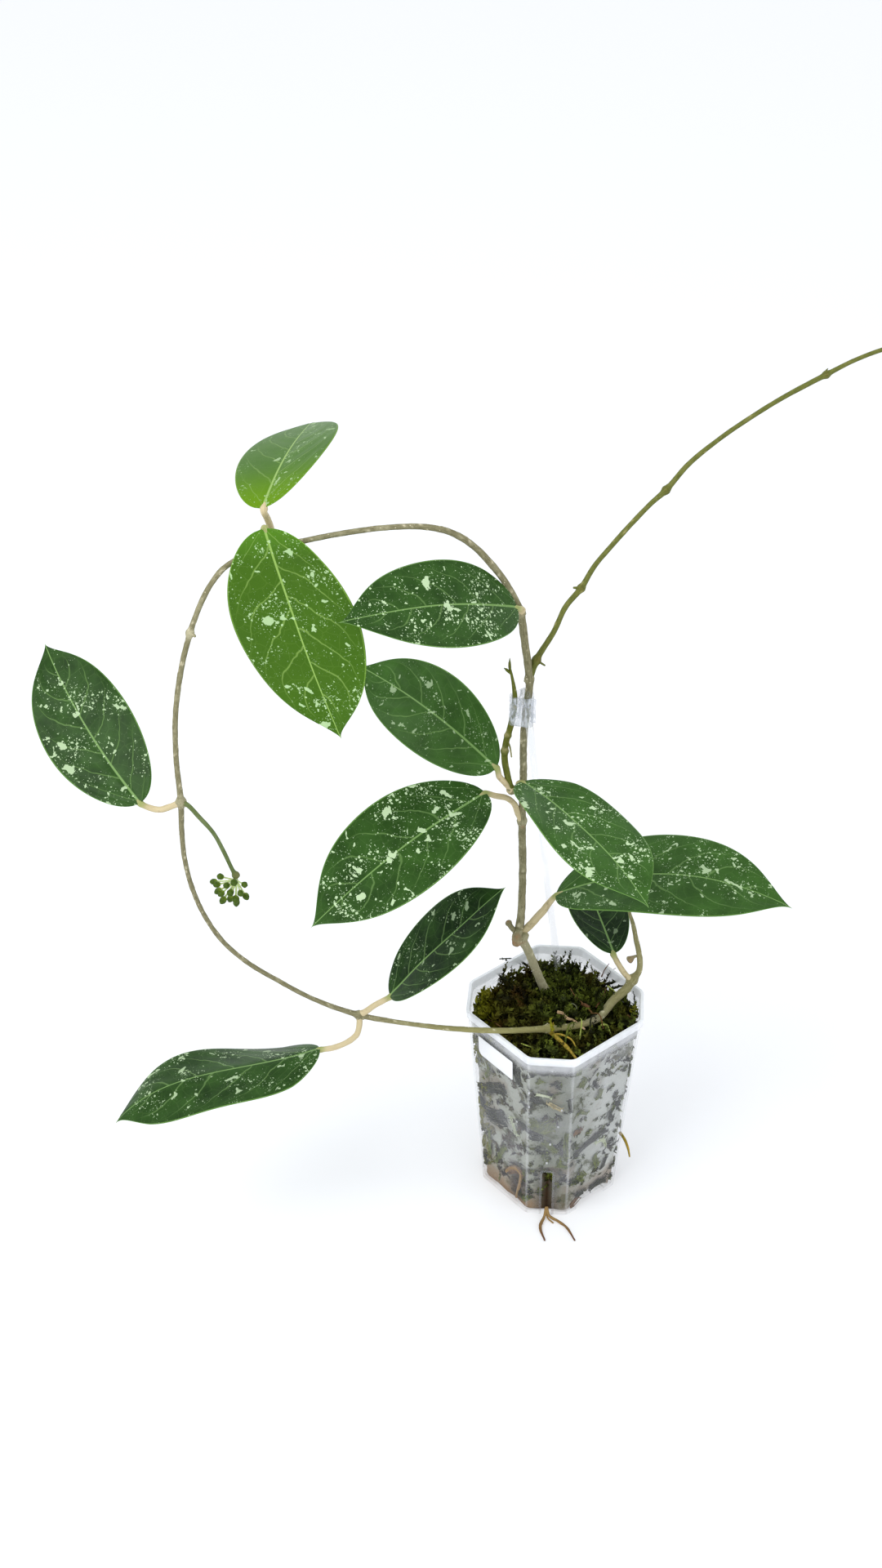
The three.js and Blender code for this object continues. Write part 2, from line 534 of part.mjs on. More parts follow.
// Tape tie: a band round the rod, the vine and the shoot, with a loose tail.
function makeTape(clearances) {
  const middle = (tapeSpan[0] + tapeSpan[1]) / 2;
  const bandOutline = (grow) => {
    const points = [];
    for (let i = 0; i < 20; i += 1) {
      const turn = (i / 20) * 2 * Math.PI;
      const way = new THREE.Vector2(Math.cos(turn), Math.sin(turn));
      const far = tapeHolds.map(([x, y, radius]) => [x * way.x + y * way.y + radius, x, y, radius]);
      const [, x, y, radius] = far.sort((a, b) => b[0] - a[0])[0];
      points.push(new THREE.Vector2(x + way.x * (radius + grow), y + way.y * (radius + grow)));
    }
    return new THREE.Shape(points);
  };
  const height = tapeSpan[1] - tapeSpan[0];
  const prism = (shape, depth) => {
    const geometry = new THREE.ExtrudeGeometry(shape, { depth, bevelEnabled: false });
    geometry.translate(0, 0, middle - depth / 2);
    return solidOf(geometry);
  };
  const [tailLength, tailX, tailY] = tapeTail;
  const tail = new THREE.BoxGeometry(tailLength, tapeWall, height - 3);
  tail.translate(tailX, tailY, middle);
  const hollow = prism(bandOutline(0), height + 2);
  let tape = prism(bandOutline(tapeWall), height).add(solidOf(tail)).subtract(hollow);
  for (const clearance of clearances) tape = tape.subtract(clearance);
  return largest(tape);
}

// Assembly

function vineSolid(grow = 0) {
  const branches = [rod(vineRoute, grow, 7, 8), rod(spurRoute, grow, 7, 4), rod(stubRoute, grow, 6, 6)];
  branches.push(rod(knobRoute, grow, 5, 3), rod(footProng, grow, 6, 9));
  return joined([...branches, ...vineJoints.map((joint) => ball(joint, grow))]);
}

function straightRod(grow = 0) {
  const [foot, top] = rodEnds.map((end) => new THREE.Vector3(...end));
  const middle = foot.clone().lerp(top, 0.5);
  return rod([foot, middle, top].map(({ x, y, z }) => [x, y, z, rodRadius]), grow, 12, 120);
}

function peduncleSolid(grow = 0) {
  return rod(peduncleRoute, grow, 6, 5).add(ball(peduncleJoint, grow));
}

function aerialSolid(grow = 0) {
  return joined([ball(aerialCushion, grow), ...aerialRoutes.map((route) => rod(route, grow, 5, 5))]);
}

function shootSolid(grow = 0) {
  const joints = shootJoints.map((joint) => ball(joint, grow));
  return joined([rod(shootRoute, grow, 6, 6), rod(shootRootlet, grow, 4, 5), ...joints]);
}

const vineRoom = vineSolid(seatGap);
const rodRoom = straightRod(seatGap);
const shoot = largest(shootSolid().subtract(vineRoom));
const shootRoom = shootSolid(seatGap);
const aerialRoots = aerialSolid().subtract(vineRoom);
const runnerParts = [rod(runnerRoute, 0, 6, 8), ...runnerStubs.map((stub) => rod(stub, 0, 4, 4))];
const runner = joined([...runnerParts, ...runnerJoints.map((joint) => ball(joint))]).subtract(vineRoom);

addPiece('pot', makePot(), 'plastic');
addPiece('moss', makeMoss([vineRoom, rodRoom, aerialSolid(seatGap)]), 'moss');
addLabel();
addPiece('support_rod', straightRod(), 'acrylic');
addPiece('tape_tie', makeTape([vineRoom, rodRoom, shootRoom]), 'acrylic');
addPiece('main_vine', vineSolid(), 'bark');
addPiece('side_shoot', shoot, 'shoot');
addPiece('runner', largest(runner), 'runner');
leaves.forEach((leaf, i) => {
  const name = `leaf_${String(i + 1).padStart(2, '0')}`;
  addPiece(name, makeLeaf(leaf, [vineRoom, shootRoom]), i === 1 ? 'youngLeaf' : 'leaf');
});
addPiece('peduncle', largest(peduncleSolid().subtract(vineRoom)), 'peduncle');
addPiece('bud_cluster', makeBuds([peduncleSolid(seatGap)]), 'bud');
addPiece('aerial_roots', largest(aerialRoots), 'root');
addPiece('drain_roots', joined(drainRoutes.map((route) => rod(route, 0, 5, 5))), 'root');
addPiece('side_root', rod(sideRootRoute, 0, 5, 4), 'root');

export default plant;
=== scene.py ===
# A wax plant in a clear nursery pot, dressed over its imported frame.
# Metres, +Z up. The photograph was taken from the -Y side. Routes are in millimetres: x, y, z, radius.
import bpy
import bmesh
import math
import random
import numpy as np
from mathutils import Matrix, Vector, noise


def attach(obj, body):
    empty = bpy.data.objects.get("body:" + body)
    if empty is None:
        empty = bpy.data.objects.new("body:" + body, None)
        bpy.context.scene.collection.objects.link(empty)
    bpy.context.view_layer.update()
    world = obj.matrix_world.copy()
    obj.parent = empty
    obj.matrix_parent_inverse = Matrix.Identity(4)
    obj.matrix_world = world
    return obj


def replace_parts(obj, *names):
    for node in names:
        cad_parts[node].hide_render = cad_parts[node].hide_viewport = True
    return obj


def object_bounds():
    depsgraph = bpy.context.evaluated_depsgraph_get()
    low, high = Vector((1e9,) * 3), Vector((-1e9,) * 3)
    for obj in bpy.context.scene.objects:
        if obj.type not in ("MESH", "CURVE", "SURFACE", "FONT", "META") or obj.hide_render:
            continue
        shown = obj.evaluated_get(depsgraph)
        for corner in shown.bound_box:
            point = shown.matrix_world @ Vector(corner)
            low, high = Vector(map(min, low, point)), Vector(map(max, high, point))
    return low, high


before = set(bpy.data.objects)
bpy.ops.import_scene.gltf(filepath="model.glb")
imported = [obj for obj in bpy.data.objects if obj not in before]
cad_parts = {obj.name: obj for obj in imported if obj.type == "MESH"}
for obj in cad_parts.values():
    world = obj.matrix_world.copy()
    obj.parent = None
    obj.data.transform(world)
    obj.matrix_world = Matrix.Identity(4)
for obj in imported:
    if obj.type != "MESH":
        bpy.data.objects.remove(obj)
cadBox = [list(corner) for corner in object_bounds()]
scene = bpy.context.scene
mm = 0.001
print("frame loaded")


# small tools

def linear(hexColour):
    channels = [int(hexColour[i:i + 2], 16) / 255 for i in (1, 3, 5)]
    return [c / 12.92 if c <= 0.04045 else ((c + 0.055) / 1.055) ** 2.4 for c in channels] + [1.0]


# adds a node, sets its properties, then fills or links its inputs
def add(tree, kind, settings=None, sockets=None):
    # a bare kind is a shader node, and a single word of settings is its operation
    made = tree.nodes.new(kind if "Node" in kind else "ShaderNode" + kind)
    if isinstance(settings, str):
        settings = {"operation": settings}
    for name, value in (settings or {}).items():
        setattr(made, name, value)
    for name, value in (sockets or {}).items():
        if isinstance(value, bpy.types.Node):
            value = value.outputs[0]
        if isinstance(value, bpy.types.NodeSocket):
            tree.links.new(value, made.inputs[name])
        else:
            made.inputs[name].default_value = value
    return made


# settings that many nodes share
smooth = {"interpolation_type": "SMOOTHSTEP"}
onSurface = {"noise_dimensions": "2D"}


def startMaterial(name):
    material = bpy.data.materials.new(name)
    material.use_nodes = True
    material.node_tree.nodes.clear()
    return material, material.node_tree


def smoothStep(low, high, value):
    t = np.clip((value - low) / (high - low), 0, 1)
    return t * t * (3 - 2 * t)


# gives each point of a mesh a number that materials and node trees read by this label
def markPoints(mesh, label, values):
    mesh.attributes.new(label, "FLOAT", "POINT").data.foreach_set("value", np.asarray(values, np.float32))


# faces that join rings of equal length, each ring closed on itself
def ringFaces(rings, around):
    return [(i * around + j, i * around + (j + 1) % around, (i + 1) * around + (j + 1) % around,
             (i + 1) * around + j)
            for i in range(rings - 1) for j in range(around)]


# faces over the first and the last ring
def endFaces(rings, around):
    return [tuple(range(around))[::-1], tuple((rings - 1) * around + j for j in range(around))]


# turns every face of a closed piece outwards
def turnFacesOut(piece):
    work = bmesh.new()
    work.from_mesh(piece.data)
    bmesh.ops.recalc_face_normals(work, faces=work.faces)
    work.to_mesh(piece.data)
    work.free()


# makes an object from points in millimetres, with corner UVs and point attributes
def makePiece(name, points, faces, materials, faceSlots=None, cornerUV=None, attributes=None):
    mesh = bpy.data.meshes.new(name)
    mesh.from_pydata((np.asarray(points, float) * mm).tolist(), [], [list(map(int, f)) for f in faces])
    for material in materials:
        mesh.materials.append(material)
    if faceSlots is not None:
        mesh.polygons.foreach_set("material_index", np.asarray(faceSlots, np.int32))
    if cornerUV is not None:
        layer = mesh.uv_layers.new(name="surface")
        layer.data.foreach_set("uv", np.asarray(cornerUV, np.float32).ravel())
    for label, values in (attributes or {}).items():
        markPoints(mesh, label, values)
    mesh.polygons.foreach_set("use_smooth", np.ones(len(mesh.polygons), bool))
    mesh.validate()
    mesh.update()
    piece = bpy.data.objects.new(name, mesh)
    scene.collection.objects.link(piece)
    return piece


# gathers several shapes into one set of arrays for makePiece
class Shape:
    def __init__(self):
        self.points = np.zeros((0, 3))
        self.faces = []
        self.slots = []
        self.uvs = []
        self.marks = {}

    def join(self, points, faces, uvs, slot=0, **marks):
        start = len(self.points)
        self.points = np.vstack([self.points, points])
        self.faces += [[start + i for i in face] for face in faces]
        self.slots += [slot] * len(faces)
        self.uvs += list(uvs)
        for label in set(self.marks) | set(marks):
            before = self.marks.get(label, np.zeros(start))
            after = np.broadcast_to(marks.get(label, 0.0), (len(points),))
            self.marks[label] = np.concatenate([before, after])

    def piece(self, name, materials):
        # nothing leaves the box of the solids
        self.points = np.clip(self.points, np.array(cadBox[0]) / mm, np.array(cadBox[1]) / mm)
        return makePiece(name, self.points, self.faces, materials, self.slots, self.uvs, self.marks)


# a centripetal spline through the route, resampled every step millimetres
def resample(route, step):
    p = np.array([row if len(row) == 4 else (*row, 1.0) for row in route], float)
    if len(p) == 2:
        p = np.vstack([p[0], p.mean(0), p[1]])
    p = np.vstack([2 * p[0] - p[1], p, 2 * p[-1] - p[-2]])
    fine = []
    for a, b, c, d in zip(p[:-3], p[1:-2], p[2:-1], p[3:]):
        knots = [0.0]
        for u, v in ((a, b), (b, c), (c, d)):
            knots.append(knots[-1] + max(np.linalg.norm((v - u)[:3]), 1e-6) ** 0.5)
        t0, t1, t2, t3 = knots
        t = np.linspace(t1, t2, max(4, int(np.linalg.norm((c - b)[:3]) / step * 3)), endpoint=False)[:, None]
        ab = a + (b - a) * (t - t0) / (t1 - t0)
        bc = b + (c - b) * (t - t1) / (t2 - t1)
        cd = c + (d - c) * (t - t2) / (t3 - t2)
        abc = ab + (bc - ab) * (t - t0) / (t2 - t0)
        bcd = bc + (cd - bc) * (t - t1) / (t3 - t1)
        fine.append(abc + (bcd - abc) * (t - t1) / (t2 - t1))
    fine = np.vstack(fine + [p[-2][None]])
    run = np.concatenate([[0], np.cumsum(np.linalg.norm(np.diff(fine[:, :3], axis=0), axis=1))])
    count = max(2, int(round(run[-1] / step)))
    where = np.linspace(0, run[-1], count + 1)
    return np.stack([np.interp(where, run, fine[:, k]) for k in range(4)], 1), where


# rings round a route: its centres, radii, two side directions and the distance run
def ringsAlong(route, step):
    line, run = resample(route, step)
    centres, radii = line[:, :3], line[:, 3].copy()
    forward = np.gradient(centres, axis=0)
    forward /= np.linalg.norm(forward, axis=1)[:, None]
    side = np.cross(forward[0], (0.31, 0.22, 0.92))
    sides = []
    for f in forward:
        side = side - f * (side @ f)
        side = side / np.linalg.norm(side)
        sides.append(side)
    sides = np.array(sides)
    return centres, radii, sides, np.cross(forward, sides), run, forward


usualRadius = 1.8  # millimetres: bark patterns and pores are laid out on a stem this thick
capRows = [0.0, 0.5, 0.8, 0.95]  # shares of the radius, from the middle of a rounded end to its edge


# a stem: a tube whose radius swells at its joints and is roughened by relief(run, turn, points)
def stem(route, around, step, joints=(), relief=None):
    centres, radii, sideA, sideB, run, forward = ringsAlong(route, step)
    for x, y, z, wide in joints:
        away = np.linalg.norm(centres - (x, y, z), axis=1)
        bulge = wide * np.exp(-(away / (wide * 1.25)) ** 2)
        radii = (radii ** 4 + bulge ** 4) ** 0.25
    turns = np.arange(around) / around * 2 * math.pi
    # both ends are rounded off
    dome = [0.6 * math.sqrt(1 - c * c) for c in capRows]
    head = [centres[0] - forward[0] * radii[0] * push for push in dome]
    tail = [centres[-1] + forward[-1] * radii[-1] * push for push in dome[::-1]]
    centres = np.vstack([head, centres, tail])
    capRadii = np.maximum(capRows, 0.02)
    radii = np.concatenate([capRadii * radii[0], radii, capRadii[::-1] * radii[-1]])
    rows = len(capRows)
    sideA = np.vstack([np.repeat(sideA[:1], rows, 0), sideA, np.repeat(sideA[-1:], rows, 0)])
    sideB = np.vstack([np.repeat(sideB[:1], rows, 0), sideB, np.repeat(sideB[-1:], rows, 0)])
    run = np.concatenate([[run[0]] * rows, run, [run[-1]] * rows])
    out = sideA[:, None] * np.cos(turns)[None, :, None] + sideB[:, None] * np.sin(turns)[None, :, None]
    rise = np.zeros((len(radii), around))
    if relief is not None:
        rise = relief(run[:, None], turns[None, :], centres[:, None] + out * radii[:, None, None])
    points = centres[:, None] + out * (radii[:, None] * (1 + rise))[..., None]
    rings = len(radii)
    girth = 2 * math.pi * usualRadius * mm
    uvs = []
    for i in range(rings - 1):
        for j in range(around):
            u, v = j / around * girth, (j + 1) / around * girth
            uvs += [(u, run[i] * mm), (v, run[i] * mm), (v, run[i + 1] * mm), (u, run[i + 1] * mm)]
    uvs += [(0, 0)] * (2 * around)
    return points.reshape(-1, 3), ringFaces(rings, around) + endFaces(rings, around), uvs


def smoothNoise(points, size, seed=0):
    return np.array([noise.noise(Vector(p) / size + Vector((seed, -seed, seed * 0.5))) for p in points])


# small raised pores at random places along a stem, as a height between 0 and 1
def poreField(draw, run, turn, pores):
    field = np.zeros((len(run), turn.size))
    total = float(run.max())
    for _ in range(int(total / 10 * pores)):
        at, toward, size = draw.random() * total, draw.random() * 2 * math.pi, draw.uniform(0.35, 0.75)
        rows = np.nonzero(np.abs(run - at) < 3)[0]
        off = np.abs((turn - toward + math.pi) % (2 * math.pi) - math.pi) * usualRadius
        field[rows] += np.exp(-((run[rows, None] - at) / size) ** 2 - (off / (size * 0.8)) ** 2)
    return field


# lumps, fine streaks along the stem and its pores; pores is how many there are in each 10 mm
def barkRelief(lump, pores, seed):
    def relief(run, turn, points):
        flat = points.reshape(-1, 3)
        rise = lump * smoothNoise(flat, 4.5, seed) + 0.5 * lump * smoothNoise(flat, 1.4, seed + 3)
        return rise.reshape(points.shape[:2]) + 0.13 * poreField(random.Random(seed), run[:, 0], turn, pores)
    return relief


# how clearly a stem shows a pore, for its colour
def markPores(route, around, step, pores, seed):
    _, run = resample(route, step)
    run = np.concatenate([[run[0]] * len(capRows), run, [run[-1]] * len(capRows)])
    turn = (np.arange(around) / around * 2 * math.pi)[None, :]
    return np.clip(poreField(random.Random(seed), run, turn, pores), 0, 1).ravel()


# camera, floor and light: a bright, even studio

# the camera that took the photograph, fitted to the pot's corners: millimetres, and pixels for its focal
# length
view = {"place": (-59.4, -870, 872), "pitchDown": 35.22, "focal": 2700, "photo": (1080, 1920), "sensor": 36}
studio = {"floorColour": "#D2D3D4", "floorGlow": "#FCFDFF", "floorLift": 0.36, "floorReach": 6000,
          "floorBack": 9000, "skyColour": "#F6F9FF", "skyStrength": 0.95, "aim": (-0.04, 0, 0.2),
          "lights": {"keyLight": {"place": (-0.9, -0.7, 1.6), "size": 1.1, "power": 14},
                     "fillLight": {"place": (1.2, -0.9, 1.1), "size": 1.4, "power": 4}}}

cameraData = bpy.data.cameras.new("camera")
cameraData.lens = view["focal"] / view["photo"][1] * view["sensor"]
cameraData.sensor_width = view["sensor"]
cameraData.clip_end = 20
camera = bpy.data.objects.new("camera", cameraData)
camera.location = [value * mm for value in view["place"]]
camera.rotation_euler = (math.radians(90 - view["pitchDown"]), 0, 0)
scene.collection.objects.link(camera)
scene.camera = camera
scene.view_settings.view_transform = "Standard"

# matt white paper sweep: dull, with only the faintest tooth
floorMaterial, tree = startMaterial("mattWhitePaper")
coords = add(tree, "TexCoord")
tooth = add(tree, "TexNoise", None, {"Vector": coords.outputs["Object"], "Scale": 900.0, "Detail": 3.0})
toothBump = add(tree, "Bump", None, {"Strength": 0.05, "Distance": 0.0002, "Height": tooth})
paper = add(tree, "BsdfPrincipled", None, {
    "Base Color": linear(studio["floorColour"]), "Roughness": 0.9, "Specular IOR Level": 0.2,
    "Normal": toothBump, "Emission Color": linear(studio["floorGlow"]),
    "Emission Strength": studio["floorLift"]})
add(tree, "OutputMaterial", None, {"Surface": paper})
reach, back = studio["floorReach"], studio["floorBack"]
floor = makePiece("floor", [(-reach, -reach, 0), (reach, -reach, 0), (reach, back, 0), (-reach, back, 0)],
                  [(0, 1, 2, 3)], [floorMaterial])

world = bpy.data.worlds.new("studio")
world.use_nodes = True
sky = world.node_tree.nodes["Background"]
sky.inputs["Color"].default_value = linear(studio["skyColour"])
sky.inputs["Strength"].default_value = studio["skyStrength"]
scene.world = world
for name, lamp in studio["lights"].items():
    lightData = bpy.data.lights.new(name, "AREA")
    lightData.shape = "DISK"
    lightData.size = lamp["size"]
    lightData.energy = lamp["power"]
    light = bpy.data.objects.new(name, lightData)
    light.location = lamp["place"]
    light.rotation_euler = (Vector(studio["aim"]) - light.location).to_track_quat("-Z", "Y").to_euler()
    scene.collection.objects.link(light)
print("studio ready")


# leaves: thick waxy blades on stout petioles

# Millimetres; the side veins' stagger, slant and sweep are shares of the blade's length.
blade = {"thickness": 0.9, "rows": 110, "columns": 42, "groove": 0.45, "grooveWidth": 0.8, "keel": 0.9,
         "keelWidth": 1.1, "quilt": 0.22, "sideVeins": 6.3, "stagger": 0.075, "slant": 0.17, "sweep": 0.2,
         "sweepPower": 3.2, "patchStep": 0.37, "petioleRadius": 1.5, "petioleGreen": 5}


# a living waxy leaf: soft sheen from its cuticle, pale veins, silvery flecks where air lies under the skin
def waxyLeaf(name, tones):
    material, tree = startMaterial(name)
    surface = add(tree, "UVMap", {"uv_map": "surface"})
    across, along, under, flecks, width, depth = (
        add(tree, "Attribute", {"attribute_name": label}).outputs["Fac"]
        for label in ("across", "along", "under", "flecks", "width", "depth"))
    reach = add(tree, "Math", "ABSOLUTE", {0: across})
    # the skin's tone drifts over 14 mm, and the blade lightens towards its margin and base
    drift = add(tree, "TexNoise", onSurface, {
        "Vector": surface, "Scale": 70.0, "Detail": 4.0, "Roughness": 0.6})
    mottled = add(tree, "MapRange", None, {
        "Value": drift, "From Min": 0.2, "From Max": 0.8, "To Min": -0.25, "To Max": 0.25})
    # depth mixes each leaf from deep to mid: partly its own tone, partly painted shade on the leaves that sit
    # in shade and painted sheen on the lit ones
    skin = add(tree, "MixRGB", None, {
        "Fac": add(tree, "Math", {"operation": "ADD", "use_clamp": True}, {0: depth, 1: mottled}),
        "Color1": linear(tones["deep"]), "Color2": linear(tones["mid"])})
    baseGlow = add(tree, "MapRange", smooth, {
        "Value": along, "From Max": tones["glowReach"], "To Min": tones["glow"], "To Max": 0.0})
    skin = add(tree, "MixRGB", None, {"Fac": baseGlow, "Color1": skin, "Color2": linear(tones["base"])})
    # side veins leave the midrib at a slant and sweep towards the tip: t is constant along one vein
    wander = add(tree, "TexNoise", onSurface, {
        "Vector": surface, "Scale": 45.0, "Detail": 3.0, "Roughness": 0.55})
    wanderBy = add(tree, "Math", "MULTIPLY_ADD", {0: wander, 1: 0.11, 2: -0.055})
    leftSide = add(tree, "Math", "GREATER_THAN", {0: across, 1: 0.0})
    stagger = add(tree, "Math", "MULTIPLY_ADD", {0: leftSide, 1: blade["stagger"], 2: along})
    slant = add(tree, "Math", "MULTIPLY_ADD", {0: reach, 1: -blade["slant"], 2: stagger})
    swept = add(tree, "Math", "POWER", {0: reach, 1: blade["sweepPower"]})
    sweepOff = add(tree, "Math", "MULTIPLY_ADD", {0: swept, 1: -blade["sweep"], 2: slant})
    veinAt = add(tree, "Math", "ADD", {0: sweepOff, 1: wanderBy})
    counted = add(tree, "Math", "MULTIPLY", {0: veinAt, 1: blade["sideVeins"]})
    part = add(tree, "Math", "FRACT", {0: counted})
    fromVein = add(tree, "Math", "ABSOLUTE", {
        0: add(tree, "Math", "SUBTRACT", {0: part, 1: 0.5})})
    sideVein = add(tree, "MapRange", smooth, {
        "Value": fromVein, "From Min": 0.012, "From Max": 0.05, "To Min": 1.0, "To Max": 0.0})
    veinFade = add(tree, "MapRange", smooth, {
        "Value": reach, "From Min": 0.55, "From Max": 0.95, "To Min": 1.0, "To Max": 0.1})
    tipFade = add(tree, "MapRange", smooth, {
        "Value": along, "From Min": 0.8, "From Max": 0.93, "To Min": 1.0, "To Max": 0.0})
    sideVein = add(tree, "Math", "MULTIPLY", {
        0: sideVein, 1: add(tree, "Math", "MULTIPLY", {0: veinFade, 1: tipFade})})
    # fine net between them, cells of about 6 mm
    bent = add(tree, "VectorMath", "SCALE", {0: wander.outputs["Color"], "Scale": 0.006})
    netAt = add(tree, "VectorMath", "ADD", {0: surface, 1: bent})
    net = add(tree, "TexVoronoi", {"voronoi_dimensions": "2D", "feature": "DISTANCE_TO_EDGE"}, {
        "Vector": netAt, "Scale": 165.0, "Randomness": 0.9})
    netLine = add(tree, "MapRange", smooth, {
        "Value": net, "From Max": 0.05, "To Min": tones["net"], "To Max": 0.0})
    # midrib: 1.1 mm wide at the base, a hair at the tip
    half = add(tree, "Math", "MULTIPLY", {0: reach, 1: width})
    ribWidth = add(tree, "MapRange", None, {
        "Value": along, "To Min": 0.62, "To Max": 0.2})
    ribShare = add(tree, "Math", "DIVIDE", {0: half, 1: ribWidth})
    rib = add(tree, "MapRange", smooth, {
        "Value": ribShare, "From Min": 0.55, "From Max": 1.25, "To Min": 1.0, "To Max": 0.0})
    veins = add(tree, "Math", "MAXIMUM", {
        0: add(tree, "Math", "MULTIPLY", {0: rib, 1: tones["ribShow"]}),
        1: add(tree, "Math", "MAXIMUM", {
            0: add(tree, "Math", "MULTIPLY", {0: sideVein, 1: tones["veinShow"]}),
            1: netLine})})
    skin = add(tree, "MixRGB", None, {"Fac": veins, "Color1": skin, "Color2": linear(tones["vein"])})
    # flecks gather in drifts about 16 mm across
    gather = add(tree, "TexNoise", onSurface, {
        "Vector": surface, "Scale": 62.0, "Detail": 2.0, "Roughness": 0.5})
    gathered = add(tree, "MapRange", None, {
        "Value": gather, "From Min": 0.42, "From Max": 0.64})
    jagged = add(tree, "TexNoise", onSurface, {
        "Vector": surface, "Scale": 1100.0, "Detail": 3.0, "Roughness": 0.7})
    shaken = add(tree, "VectorMath", "MULTIPLY_ADD", {
        0: jagged.outputs["Color"], 1: (0.0011, 0.0011, 0.0), 2: surface})
    # splashes of 3 to 6 mm with torn edges
    splash = add(tree, "TexNoise", onSurface, {
        "Vector": shaken, "Scale": 165.0, "Detail": 2.5, "Roughness": 0.55, "Distortion": 0.35})
    splashLimit = add(tree, "MapRange", None, {
        "Value": gathered, "To Min": tones["splashRare"], "To Max": tones["splashRare"] - 0.07})
    splashOver = add(tree, "Math", "SUBTRACT", {0: splash, 1: splashLimit})
    # a thinly flecked leaf has fewer flecks, and fainter ones
    rarity = add(tree, "MapRange", None, {"Value": flecks, "From Min": 1.0, "From Max": 0.0})
    splashOver = add(tree, "Math", "MULTIPLY_ADD", {0: rarity, 1: -0.03, 2: splashOver})
    splashMask = add(tree, "MapRange", None, {
        "Value": splashOver, "From Max": 0.006, "To Max": 0.9})
    # specks of 0.3 to 1.3 mm, a few cells in ten carry one
    specks = []
    for size, share, show in ((560.0, 0.86, 0.95), (1300.0, 0.84, 0.85)):
        cell = add(tree, "TexVoronoi", {"voronoi_dimensions": "2D", "feature": "F1"}, {
            "Vector": shaken, "Scale": size, "Randomness": 1.0})
        luck = add(tree, "SeparateColor", None, {0: cell.outputs["Color"]})
        fuller = add(tree, "Math", "MULTIPLY_ADD", {0: gathered, 1: 0.26, 2: luck})
        fuller = add(tree, "Math", "MULTIPLY_ADD", {0: rarity, 1: -0.17, 2: fuller})
        spread = add(tree, "MapRange", None, {
            "Value": fuller, "From Min": share, "From Max": 1.24, "To Max": 0.46})
        room = add(tree, "Math", "SUBTRACT", {0: spread, 1: cell.outputs["Distance"]})
        specks.append(add(tree, "MapRange", None, {
            "Value": room, "From Max": 0.05, "To Max": show}))
    fleckMask = add(tree, "Math", "MAXIMUM", {
        0: splashMask, 1: add(tree, "Math", "MAXIMUM", {0: specks[0], 1: specks[1]})})
    faint = add(tree, "MapRange", None, {"Value": rarity, "To Min": 1.0, "To Max": 0.25})
    fleckMask = add(tree, "Math", "MULTIPLY", {0: fleckMask, 1: faint})
    offUnder = add(tree, "MapRange", None, {"Value": under, "To Min": 1.0, "To Max": 0.15})
    fleckMask = add(tree, "Math", "MULTIPLY", {0: fleckMask, 1: offUnder})
    skin = add(tree, "MixRGB", None, {"Fac": fleckMask, "Color1": skin, "Color2": linear(tones["fleck"])})
    # a thin paler line runs round the margin
    margin = add(tree, "MapRange", smooth, {
        "Value": reach, "From Min": 0.965, "From Max": 0.99, "To Max": 0.8})
    skin = add(tree, "MixRGB", None, {"Fac": margin, "Color1": skin, "Color2": linear(tones["margin"])})
    # the underside is matt and paler
    back = add(tree, "MixRGB", None, {
        "Fac": add(tree, "Math", "MULTIPLY", {0: veins, 1: 0.7}),
        "Color1": linear(tones["under"]), "Color2": linear(tones["underVein"])})
    skin = add(tree, "MixRGB", None, {"Fac": under, "Color1": skin, "Color2": back})
    grainFine = add(tree, "TexNoise", onSurface, {
        "Vector": surface, "Scale": 2600.0, "Detail": 2.0})
    height = add(tree, "Math", "MULTIPLY_ADD", {0: grainFine, 1: 0.12, 2: fleckMask})
    height = add(tree, "Math", "MULTIPLY_ADD", {0: sideVein, 1: -1.6, 2: height})
    bump = add(tree, "Bump", None, {"Strength": 0.35, "Distance": 0.0002, "Height": height})
    gloss = add(tree, "MapRange", None, {"Value": fleckMask, "To Min": tones["gloss"], "To Max": 0.55})
    gloss = add(tree, "Math", "MULTIPLY_ADD", {0: under, 1: 0.2, 2: gloss})
    shader = add(tree, "BsdfPrincipled", None, {
        "Base Color": skin, "Roughness": gloss, "Specular IOR Level": tones["shine"], "IOR": 1.45,
        "Normal": bump})
    add(tree, "OutputMaterial", None, {"Surface": shader})
    return material


darkTones = {"deep": "#0D2703", "mid": "#416A28", "base": "#3F6627", "glow": 0.25, "glowReach": 0.12,
             "vein": "#7FA35E", "ribShow": 0.8, "veinShow": 0.36, "net": 0.07, "fleck": "#C3DBAE",
             "margin": "#76A050", "under": "#5C7A4A", "underVein": "#7F9A68", "splashRare": 0.705,
             "gloss": 0.36, "shine": 0.14}
youngTones = {**darkTones, "deep": "#385E0A", "mid": "#456D11", "base": "#568A1C", "glow": 0.6,
              "glowReach": 0.16, "vein": "#9CC062", "veinShow": 0.4, "fleck": "#BCDBA4", "margin": "#83AD45",
              "under": "#7F9F55", "splashRare": 0.715, "gloss": 0.4}
topTones = {**darkTones, "deep": "#416524", "mid": "#547A33", "base": "#628C02", "glow": 0.85,
            "glowReach": 0.36, "vein": "#9CBB6C", "veinShow": 0.25, "net": 0.04, "fleck": "#B4CE9E",
            "margin": "#7DA23B", "splashRare": 0.715, "gloss": 0.34, "shine": 0.07}
darkLeaf = waxyLeaf("waxyLeafDark", darkTones)
youngLeaf = waxyLeaf("waxyLeafYoung", youngTones)
topLeaf = waxyLeaf("waxyLeafTop", topTones)

